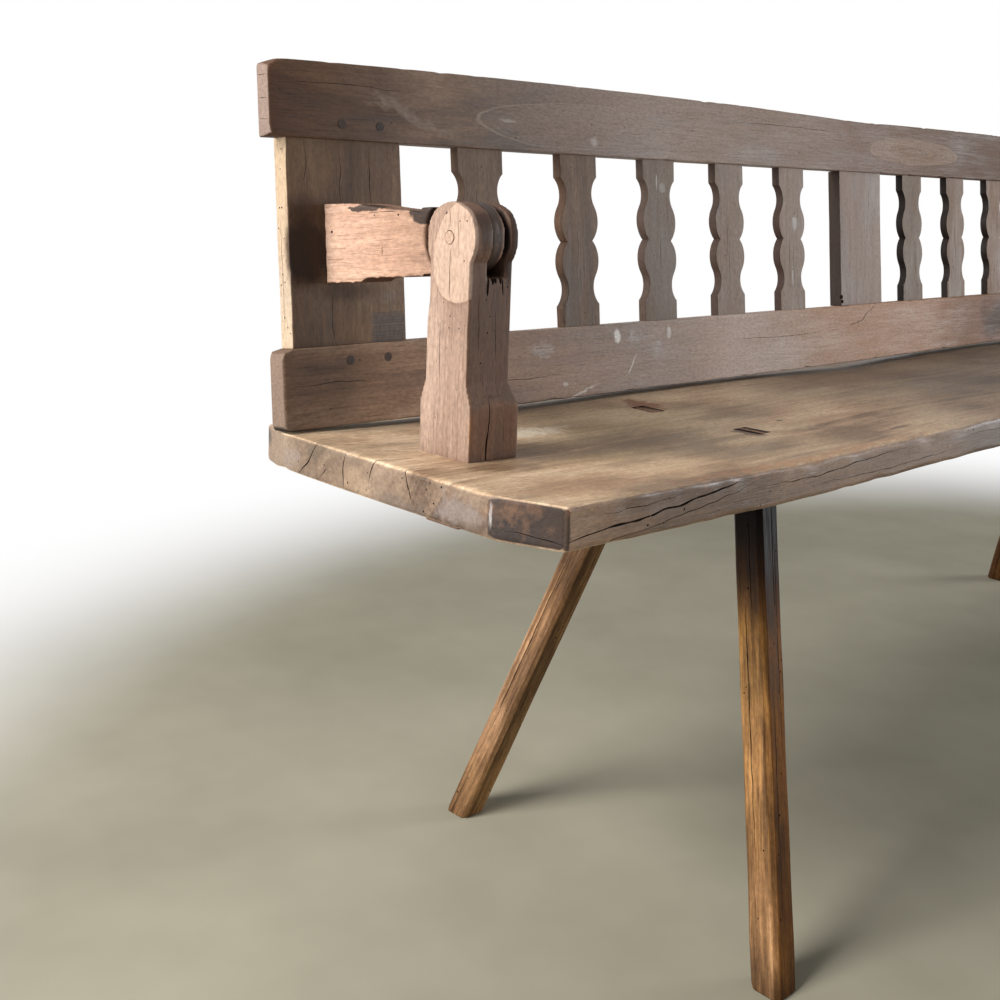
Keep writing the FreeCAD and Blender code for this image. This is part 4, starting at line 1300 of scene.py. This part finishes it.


# A leg's painted light and shade from its foot up: (height, colour multiplied in). The others are like
# the last.
LEG_LIGHT_AND_SHADE = {
    "leg_front_left": [
        (0.0, (0.72, 0.75, 0.86)), (0.037, (0.9, 0.92, 1.0)), (0.082, (0.9, 0.9, 0.96)),
        (0.128, (1.9, 1.9, 1.75)), (0.2, (1.95, 1.95, 1.8)), (0.24, (2.2, 2.25, 1.95)),
        (0.275, (2.4, 2.4, 1.8)), (0.3, (0.95, 0.9, 0.68)), (0.33, (0.33, 0.27, 0.2)),
        (0.36, (0.1, 0.09, 0.08)), (0.42, (0.02, 0.02, 0.02)),
    ],
    "leg_rear_left": [
        (0.0, (2.4, 2.5, 2.9)), (0.03, (2.1, 2.2, 2.5)), (0.073, (1.4, 1.45, 1.75)),
        (0.17, (1.55, 1.65, 2.1)), (0.25, (2.3, 2.4, 2.9)), (0.33, (2.0, 2.2, 2.9)),
        (0.42, (1.5, 1.8, 2.6)),
    ],
    "leg_rear_right": [
        (0.0, (0.7, 0.6, 0.55)), (0.03, (0.62, 0.53, 0.5)), (0.073, (0.5, 0.45, 0.47)),
        (0.17, (0.75, 0.72, 0.74)), (0.25, (0.95, 0.82, 0.78)), (0.33, (1.0, 0.95, 0.95)),
        (0.42, (0.65, 0.7, 0.8)),
    ],
}


def leg_material(node, seed, under_seat_shade, shade):
    foot, head = leg_middle(node, 0.0), leg_middle(node, 0.4)
    along = (head[0] - foot[0], head[1] - foot[1], 0.4)
    tones = ((0.055, 0.028, 0.012), (0.175, 0.092, 0.038), (0.42, 0.235, 0.105))
    tones = [tuple(part * shade for part in tone) for tone in tones]
    marks = [
        # Painted shade towards the top under the seat and on the fronts, and painted light and shade up
        # the leg.
        fade(2, 0.2, 0.4, (0.2, 0.15, 0.12), under_seat_shade, "MULTIPLY"),
        fade(2, 0.03, 0.0, (0.35, 0.28, 0.22), 0.5, "MULTIPLY"),
        facing((0, -1, 0), (0.6, 0.57, 0.44) if "rear" in node else (0.64, 0.46, 0.18)),
        graded_colour(2, LEG_LIGHT_AND_SHADE.get(node, LEG_LIGHT_AND_SHADE["leg_rear_right"])),
    ]
    return wood(node + "_wood", tones, along, marks, seed=seed, ring=0.007, stretch=16, contrast=0.7,
                mottle=1.6, specular=0.08, worn=(0.5, 0.33, 0.18), wear=0.45,
                roughness=(0.45, 0.68), holes=0.7)


def post_material(side, seed):
    def at(x, y, z):
        return SIGNS[side] * x, y, z

    marks = [
        # Painted shade on the fronts.
        facing((0, -1, 0), (0.44, 0.38, 0.33), 0.95),
        facing((-1, 0, 0), (0.84, 0.88, 0.93), 1.0, 0.6),
        facet_tint((0.385, 0.275, 0.21), 0.75),
        # Painted shade on the head's front and top, and on the inner cheek.
        ragged_multiply(at(0.858, -0.01, 0.645), (0.01, 0.035, 0.032), (0.4, 0.32, 0.28), 1.0, 0.3, 0.1),
        ragged_multiply(at(0.8265, 0.0, 0.63), (0.011, 0.045, 0.05), (0.28, 0.22, 0.19), 1.0, 0.3, 0.1),
        ragged_multiply(at(0.848, -0.022, 0.575), (0.03, 0.01, 0.05), (0.8, 0.76, 0.74), 0.9, 0.7, 0.2),
        # Painted shade inside the slot, nearly black.
        ragged_mark(at(POST_CENTRE, 0.0, 0.635), (0.014, 0.045, 0.038), (0.01, 0.006, 0.005),
              1.0, 0.1, 0.06),
        ragged_multiply(at(POST_CENTRE, -0.031, 0.48), (0.04, 0.004, 0.03), (1.35, 1.2, 1.02), 0.95, 0.3, 0.1),
        ragged_multiply(at(POST_CENTRE, -0.031, 0.508), (0.04, 0.004, 0.003), (0.5, 0.45, 0.42), 0.9),
        fade(2, 0.47, 0.448, (0.45, 0.35, 0.28), 0.5, "MULTIPLY"),
    ]
    tones = ((0.15, 0.086, 0.056), (0.265, 0.168, 0.118), (0.37, 0.25, 0.185))
    return wood(side + "_post_wood", tones, ALONG_Z, marks, seed=seed, stretch=24, bend=0.03,
                contrast=0.5, mottle=1.2, worn=(0.6, 0.46, 0.36), wear=0.5, holes=0.88)


def arm_material(side, seed):
    def at(x, u, v):
        return SIGNS[side] * x, u, v

    fine = {"scale": 110}
    marks = [
        ragged_mark(at(0.87, 0.034, 0.0215), (0.02, 0.016, 0.01), (0.03, 0.019, 0.015), 0.97, 0.3, 0.35,
              **fine),
        ragged_mark(at(0.875, 0.095, 0.0285), (0.02, 0.026, 0.004), (0.035, 0.022, 0.017), 0.95, 0.4, 0.4,
              **fine),
        ragged_mark(at(0.87, 0.06, 0.026), (0.02, 0.022, 0.0035), (0.16, 0.1, 0.075), 0.6, 0.6, 0.4, **fine),
        # Painted shade on the underside.
        facing((0, 0, -1), (0.22, 0.16, 0.13), 1.0, 0.3, 0.8),
        facing((0, 0, 1), (0.45, 0.38, 0.34), 0.8),
        graded_colour(1, [
            (0.036, (0.68, 0.64, 0.62)), (0.07, (0.78, 0.72, 0.7)), (0.11, (0.84, 0.78, 0.78)),
            (0.141, (0.9, 0.88, 0.9)),
        ]),
        # Painted shade on the tongue inside the post's slot, with two painted highlights on its rim.
        ragged_mark(at(0.8435, 0.0, 0.0), (0.0125, 0.0335, 0.036), (0.036, 0.021, 0.015), 0.96, 0.1, 0.04),
        ragged_mark(at(0.8435, -0.0275, 0.006), (0.003, 0.008, 0.01), (0.22, 0.17, 0.15), 0.5, 0.9),
        ragged_mark(at(0.8435, -0.0275, -0.008), (0.0045, 0.01, 0.012), (0.1, 0.065, 0.05), 0.6, 0.9),
    ]
    tones = ((0.22, 0.125, 0.082), (0.42, 0.275, 0.195), (0.54, 0.39, 0.29))
    return wood(side + "_arm_wood", tones, at(ARM_SLANT, ARM_RUN, 0), marks, leaning=True, seed=seed,
                ring=0.005, stretch=24, bend=0.02, contrast=0.45, mottle=0.9,
                worn=(0.62, 0.47, 0.37), wear=0.5, holes=0.85)


def top_rail_material():
    u = RAIL_FRONT
    marks = [
        # Painted glare growing towards the right, and painted light and shade along the rail.
        fade(0, -0.88, -0.4, PAINTED_GLARE, 0.5),
        graded_colour(0, [
            (-0.94, (0.38, 0.27, 0.2)), (-0.88, (0.52, 0.42, 0.34)), (-0.82, (0.7, 0.66, 0.64)),
            (-0.77, (1.15, 1.15, 1.12)), (-0.715, (1.2, 1.2, 1.15)), (-0.645, (1.0, 1.05, 1.1)),
            (-0.53, (1.07, 1.06, 1.07)), (-0.43, (1.2, 1.2, 1.2)), (-0.356, (1.16, 1.08, 1.0)),
            (-0.1, (1.04, 0.97, 0.93)), (-0.03, (0.8, 0.66, 0.59)), (0.16, (0.58, 0.44, 0.35)),
            (0.32, (0.4, 0.27, 0.18)), (0.94, (0.36, 0.25, 0.18)),
        ]),
        facing((-1, 0, 0), (0.21, 0.155, 0.13), 0.8, 0.6, blend="MIX"),
        oval((-0.56, u, 0.1185), (0.143, 0.06, 0.0235), 7, (0.34, 0.27, 0.22), 0.22),
        oval((0.143, u, 0.123), (0.123, 0.06, 0.018), 5, (0.36, 0.24, 0.15), 0.5),
        ragged_mark((-0.8, u, 0.122), (0.055, 0.02, 0.006), (0.3, 0.235, 0.19), 0.4, 0.8, turn=-0.36),
        ragged_mark((-0.78, u, 0.111), (0.075, 0.02, 0.004), (0.3, 0.235, 0.19), 0.35, 0.8, turn=-0.3),
        ragged_mark((-0.54, u, 0.105), (0.009, 0.02, 0.009), (0.5, 0.46, 0.43), 0.6, 0.8),
        ragged_mark((-0.665, u, 0.119), (0.014, 0.02, 0.003), (0.48, 0.44, 0.41), 0.5, 0.8),
    ]
    return wood("top_rail_wood", BOARD_TONES, ALONG_X, marks, leaning=True, seed=2.2, ring=0.012,
                stretch=22, bend=0.1, mottle=1.5, worn=(0.46, 0.36, 0.3),
                film=((0.22, 0.165, 0.13), 0.35))


def lower_rail_material():
    u, grey = RAIL_FRONT, (0.5, 0.47, 0.46)
    smear = {"ragged": 0.5, "streaks": 0.8}
    marks = [
        facing((-1, 0, 0), (0.29, 0.225, 0.19), 0.75, 0.6, blend="MIX"),
        # Painted glare growing towards the right, painted shade on the underside, and painted light and
        # shade along the rail.
        fade(0, -0.8, -0.2, (0.46, 0.38, 0.335), 0.7),
        facing((0, 0, -1), (0.1, 0.08, 0.07), 1.0, 0.25, 0.6),
        graded_colour(0, [
            (-0.94, (0.55, 0.5, 0.45)), (-0.88, (0.85, 0.8, 0.72)), (-0.85, (1.25, 1.18, 1.05)),
            (-0.8, (1.75, 1.7, 1.6)), (-0.56, (1.45, 1.42, 1.42)), (-0.45, (1.3, 1.3, 1.3)),
            (-0.39, (1.22, 1.18, 1.15)), (-0.3, (1.45, 1.42, 1.42)), (-0.2, (1.28, 1.17, 1.08)),
            (-0.09, (1.23, 0.93, 0.72)), (0.04, (1.26, 0.96, 0.74)), (0.16, (1.08, 0.74, 0.5)),
            (0.29, (0.62, 0.4, 0.27)), (0.94, (0.52, 0.35, 0.26)),
        ]),
        ragged_mark((-0.511, u, -0.103), (0.007, 0.02, 0.01), (0.78, 0.76, 0.74), 0.95),
        ragged_mark((-0.625, u, -0.11), (0.026, 0.02, 0.011), grey, 0.6, 0.8, **smear),
        ragged_mark((-0.48, u, -0.105), (0.02, 0.02, 0.01), grey, 0.55, 0.8, **smear),
        ragged_mark((-0.444, u, -0.122), (0.01, 0.02, 0.014), grey, 0.5, 0.8, **smear),
        ragged_mark((-0.423, u, -0.103), (0.005, 0.02, 0.01), (0.65, 0.63, 0.62), 0.7),
        ragged_mark((-0.487, u, -0.134), (0.0016, 0.02, 0.015), (0.7, 0.68, 0.66), 0.8, turn=-0.62),
        ragged_mark((-0.57, u, -0.157), (0.03, 0.02, 0.0016), (0.66, 0.6, 0.55), 0.8, turn=0.26),
        ragged_mark((-0.594, u, -0.147), (0.006, 0.02, 0.003), (0.66, 0.6, 0.55), 0.8),
        ragged_mark((-0.199, u, -0.131), (0.004, 0.02, 0.008), grey, 0.5, 0.7, **smear),
        ragged_mark((0.4, u, -0.128), (0.085, 0.02, 0.055), (0.045, 0.03, 0.022), 0.8, 0.9, 0.2, scale=25),
    ]
    return wood("lower_rail_wood", BOARD_TONES, ALONG_X, marks, leaning=True, seed=3.7, ring=0.011,
                stretch=22, bend=0.08, mottle=1.6, worn=(0.46, 0.36, 0.3),
                film=((0.23, 0.17, 0.135), 0.35))


def stile_material(node, seed, lighter):
    sign = 1 if "right" in node else -1

    def at(x, v):
        return sign * x, STILE_FRONT, v

    # darker towards the outer edge
    outwards = [(0.799, (0.92, 0.92, 0.92)), (0.87, (0.72, 0.68, 0.6)), (0.925, (0.55, 0.52, 0.47))]
    outwards = [(sign * place, tone) for place, tone in outwards][::sign]
    patch = sorted((sign * 0.801, sign * 0.839))
    end_marks = [
        facing((sign, 0, 0), (0.66, 0.55, 0.45), 0.9, 0.6, blend="MIX"),
        graded_colour(0, outwards),
        graded_colour(2, [
            (-0.09, (1.15, 1.12, 1.05)), (-0.05, (1.0, 1.0, 1.0)), (0.04, (1.0, 0.95, 0.88)),
            (0.095, (0.92, 0.88, 0.8)),
        ]),
        # Painted shadow of the arm beside it on the stile.
        ragged_multiply(at(0.908, -0.006), (0.04, 0.01, 0.042), (0.14, 0.1, 0.075), 0.95, 0.6, 0.1),
        ragged_multiply(at(0.905, 0.03), (0.03, 0.01, 0.022), (0.45, 0.38, 0.34), 0.9, 0.8, 0.1),
        # Painted shadow under the arm.
        ragged_multiply(at(0.868, -0.042), (0.05, 0.01, 0.012), (0.45, 0.38, 0.33), 0.8, 0.8, 0.1),
        hatched((patch[0], -0.09), (patch[1], -0.061), (0.085, 0.085, 0.092), 0.85),
        ragged_mark(at(0.82, -0.05), (0.014, 0.01, 0.01), (0.3, 0.28, 0.27), 0.35, 0.8, 0.5, streaks=0.8),
        ragged_mark(at(0.884, -0.062), (0.006, 0.01, 0.024), (0.08, 0.055, 0.045), 0.6, 0.8, 0.5, streaks=0.6),
    ]
    # Painted glare, and painted shade on the centre stile's left side.
    centre_marks = [
        fade(0, -0.8, 0.0, PAINTED_GLARE, 0.5), facing((-1, 0, 0), (0.1, 0.075, 0.062), 1.0, 0.4, 0.8)
    ]
    tones = [tuple(part * (1 + lighter) for part in tone) for tone in BOARD_TONES]
    return wood(node + "_wood", tones, ALONG_Z, centre_marks if "centre" in node else end_marks,
                leaning=True, seed=seed, ring=0.012, stretch=16, bend=0.09, contrast=0.5, mottle=1.8,
                worn=(0.5, 0.38, 0.3), film=((0.21, 0.155, 0.12), 0.3))


# Painted shade on the left sides of the first six splats; the rest are like the sixth
SPLAT_SIDE_SHADE = (
    (0.4, 0.34, 0.3), (0.42, 0.34, 0.29), (0.36, 0.31, 0.3),
    (0.22, 0.18, 0.17), (0.16, 0.12, 0.12), (0.05, 0.035, 0.035),
)
# Painted light and shade along the back, multiplied into the splats.
SPLAT_LIGHT_AND_SHADE = [
    (-0.7, (0.86, 0.85, 0.82)), (-0.56, (0.83, 0.8, 0.72)), (-0.43, (0.9, 0.94, 0.93)),
    (-0.3, (0.98, 0.95, 0.9)), (-0.16, (0.97, 0.92, 0.85)), (0.08, (0.63, 0.59, 0.51)),
    (0.2, (0.57, 0.47, 0.35)), (0.34, (0.64, 0.46, 0.3)), (0.7, (0.64, 0.46, 0.3)),
]
# Spots on a splat: (right of its middle, v), radii, colour and share
SPLAT_SPOTS = {
    3: [((-0.004, 0.066), (0.0016, 0.01, 0.01), (0.6, 0.58, 0.56), 0.7),
        ((0.006, 0.06), (0.008, 0.01, 0.008), (0.42, 0.4, 0.38), 0.5)],
    5: [((0.006, 0.02), (0.007, 0.01, 0.014), (0.55, 0.53, 0.52), 0.6),
        ((0.0, -0.045), (0.0016, 0.01, 0.016), (0.6, 0.58, 0.56), 0.6)],
}


def splat_material(number):
    low, high = extent(f"splat_{number}")
    middle = (low.x + high.x) / 2
    marks = [
        # Painted glare growing towards the right, painted shade on the left sides, and painted light and
        # shade along the back.
        fade(0, -0.75, -0.1, PAINTED_GLARE, 0.6),
        facing((-1, 0, 0), SPLAT_SIDE_SHADE[min(number, 6) - 1], 1.0, 0.2, 0.5),
        graded_colour(0, SPLAT_LIGHT_AND_SHADE),
    ]
    for (x, v), *rest in SPLAT_SPOTS.get(number, ()):
        marks.append(ragged_mark((middle + x, low.y, v), *rest))
    return wood(f"splat_{number}_wood", BOARD_TONES, ALONG_Z, marks, leaning=True,
                seed=5.0 + number * 1.9, ring=0.009, bend=0.06, mottle=1.5, worn=(0.48, 0.38, 0.31),
                film=((0.22, 0.165, 0.13), 0.35), holes=0.85)


# End grain of the small parts. A word in their nodes' names, a material's name, tones, the way
# the grain runs and whether they lean
DARK = ((0.014, 0.009, 0.007), (0.035, 0.022, 0.016), (0.07, 0.045, 0.034))
WARM = ((0.14, 0.08, 0.05), (0.3, 0.2, 0.145), (0.42, 0.3, 0.23))
RED = ((0.05, 0.025, 0.015), (0.13, 0.065, 0.038), (0.22, 0.12, 0.07))
PLUGS = [
    ("leg_wedge", "leg_wedge_wood", RED, ALONG_Z, False),
    ("post_wedge", "post_wedge_wood", DARK, ALONG_Z, False),
    ("pivot_pin", "pin_wood", WARM, ALONG_X, False),
    ("arm_wedge", "arm_wedge_wood", DARK, ALONG_Y, True),
    ("rail_pegs", "peg_wood", DARK, ALONG_Y, True),
]


# Stage, lights and camera

def seen_rays(g):
    """1 for what shows straight to the camera, by reflection or through a clear thing."""
    rays = g.add("ShaderNodeLightPath").node.outputs
    seen = g.math("MAXIMUM", rays["Is Camera Ray"], rays["Is Glossy Ray"])
    return g.math("MAXIMUM", seen, rays["Is Transmission Ray"])


def make_stage():
    """A pale floor that turns white away from the bench."""
    mesh = bmesh.new()
    size = 14
    corners = ((-size, -size, 0), (size, -size, 0), (size, size, 0), (-size, size, 0))
    mesh.faces.new([mesh.verts.new(corner) for corner in corners])
    floor = as_object("floor", mesh)
    g = Graph(bpy.data.materials.new("floor_pale"))
    place = g.place(False)
    away = g.span(g.vector("LENGTH", g.mapping(place, scale=(0.75, 1, 1)), output=1), 0.85, 1.55)
    cloud = g.noise(place, 2.2, 4, 0.6)
    colour = g.ramp(cloud, [(0.3, (0.27, 0.255, 0.196)), (0.7, (0.37, 0.35, 0.275))])
    surface = g.add("ShaderNodeBsdfPrincipled", {
        "Base Color": g.mix(away, colour, (0.85, 0.85, 0.85)), "Roughness": 0.85,
        "Specular IOR Level": 0.1,
    })
    white = g.add("ShaderNodeEmission", {"Color": (1, 1, 1, 1), "Strength": 1.0})
    shader = g.add("ShaderNodeMixShader", {0: g.times(seen_rays(g), away), 1: surface, 2: white})
    g.add("ShaderNodeOutputMaterial", {"Surface": shader})
    floor.data.materials.append(g.owner)


def make_world(level):
    g = Graph(bpy.data.worlds.new("studio"))
    soft, white = (
        g.add("ShaderNodeBackground", {"Color": colour, "Strength": strength})
        for colour, strength in (((0.95, 0.97, 1.0, 1), level), ((1, 1, 1, 1), 1.0))
    )
    shader = g.add("ShaderNodeMixShader", {0: seen_rays(g), 1: soft, 2: white})
    g.add("ShaderNodeOutputWorld", {"Surface": shader})
    bpy.context.scene.world = g.owner


def area_light(name, place, target, size, watts, colour):
    data = bpy.data.lights.new(name, "AREA")
    data.shape = "RECTANGLE"
    data.size, data.size_y = size
    data.energy, data.color = watts, colour
    lamp = link(bpy.data.objects.new(name, data))
    lamp.location = place
    lamp.rotation_euler = (Vector(target) - Vector(place)).to_track_quat("-Z", "Y").to_euler()


CAMERA_PLACE = Vector((-1.5138, -0.7333, 0.6749))
CAMERA_YAW, CAMERA_PITCH, CAMERA_ROLL = -0.7641, 0.1153, 0.0344
FOCAL_PIXELS, IMAGE_SIZE, CENTRE_Y = 1232.28, 1000, 328.62


def make_camera():
    yaw, pitch, roll = CAMERA_YAW, CAMERA_PITCH, CAMERA_ROLL
    level, up = Vector((-math.sin(yaw), math.cos(yaw), 0)), Vector((0, 0, 1))
    side = Vector((math.cos(yaw), math.sin(yaw), 0))
    ahead = level * math.cos(pitch) - up * math.sin(pitch)
    over = up * math.cos(pitch) + level * math.sin(pitch)
    right = side * math.cos(roll) + over * math.sin(roll)
    top = over * math.cos(roll) - side * math.sin(roll)
    data = bpy.data.cameras.new("camera")
    data.sensor_width = 36
    data.lens = FOCAL_PIXELS / IMAGE_SIZE * data.sensor_width
    data.shift_y = -(IMAGE_SIZE / 2 - CENTRE_Y) / IMAGE_SIZE
    data.clip_start = 0.01
    camera = link(bpy.data.objects.new("camera", data))
    turn = Matrix((right, top, -ahead)).transposed()
    camera.matrix_world = Matrix.Translation(CAMERA_PLACE) @ turn.to_4x4()
    bpy.context.scene.camera = camera


# Build

def paint(piece, material):
    """The piece's own material goes first, and the split's material stays second."""
    data = piece.data
    inner = [index for index, held in enumerate(data.materials) if held == SPLIT]
    marked = [polygon.material_index in inner for polygon in data.polygons]
    data.materials.clear()
    data.materials.append(material)
    data.materials.append(SPLIT)
    for polygon, is_inner in zip(data.polygons, marked):
        polygon.material_index = 1 if is_inner else 0


def dress(piece, material, node, body):
    paint(piece, material)
    shade(piece)
    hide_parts(node)
    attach(piece, body)


def build_bench():
    dress(make_seat(), seat_material(), "seat_plank", "bench")
    # Each leg's tones are scaled by its own painted light and shade, and darkened towards the top as
    # painted shade under the seat.
    for number, (name, under_seat_shade, shade_share) in enumerate(zip(
        LEGS, (0.95, 0.3, 0.5, 0.5), (1.15, 0.62, 1.0, 0.9)
    )):
        leg = make_leg(name, 60.0 + 5 * number)
        cut_leg(leg, name, 400 + 20 * number)
        material = leg_material(name, 7.0 + 2.3 * number, under_seat_shade, shade_share)
        dress(leg, material, name, "bench")
    for number, side in enumerate(SIGNS):
        post = make_post(side, 11.0 + 6 * number)
        dress(post, post_material(side, 1.1 + 3 * number), side + "_post", "bench")


def build_back():
    for number, side in enumerate(SIGNS):
        arm = make_arm(side, 23.0 + 6 * number)
        dress(arm, arm_material(side, 4.4 + 3 * number), side + "_arm", "back")
    dress(make_top_rail(), top_rail_material(), "top_rail", "back")
    dress(make_lower_rail(), lower_rail_material(), "lower_rail", "back")
    stiles = {"left_end_stile": 0.0, "centre_stile": 0.5, "right_end_stile": 0.1}
    for number, (node, lighter) in enumerate(stiles.items()):
        stile = make_stile(node, 71.0 + 6 * number)
        dress(stile, stile_material(node, 6.1 + 2.7 * number, lighter), node, "back")
    for number in range(1, 11):
        dress(make_splat(number), splat_material(number), f"splat_{number}", "back")


def finish_small_parts():
    """Wedges, pins and pegs keep their CAD shapes and get their own woods."""
    for seed, (word, name, tones, along, leaning) in enumerate(PLUGS, 1):
        material = wood(name, tones, along, leaning=leaning, seed=float(seed), ring=0.0016, stretch=4,
                        bend=0.02, contrast=1.0, wear=0.05, holes=0.9)
        for node, item in frame["nodes"].items():
            if word in node:
                item.data.materials.clear()
                item.data.materials.append(material)


make_camera()
make_stage()
make_world(0.2)
area_light("window", (-3.4, 0.55, 2.55), (-0.3, 0.0, 0.45), (1.4, 1.2), 140, (1.0, 0.97, 0.93))
area_light("low_window", (-3.7, 0.35, 0.95), (-0.3, 0.0, 0.35), (1.4, 1.0), 90, (1.0, 0.97, 0.93))
area_light("front_fill", (3.2, -2.0, 0.85), (0.0, 0.1, 0.5), (1.2, 0.9), 95, (0.97, 0.98, 1.0))
build_bench()
build_back()
finish_small_parts()

bpy.context.scene.view_settings.view_transform = "Standard"
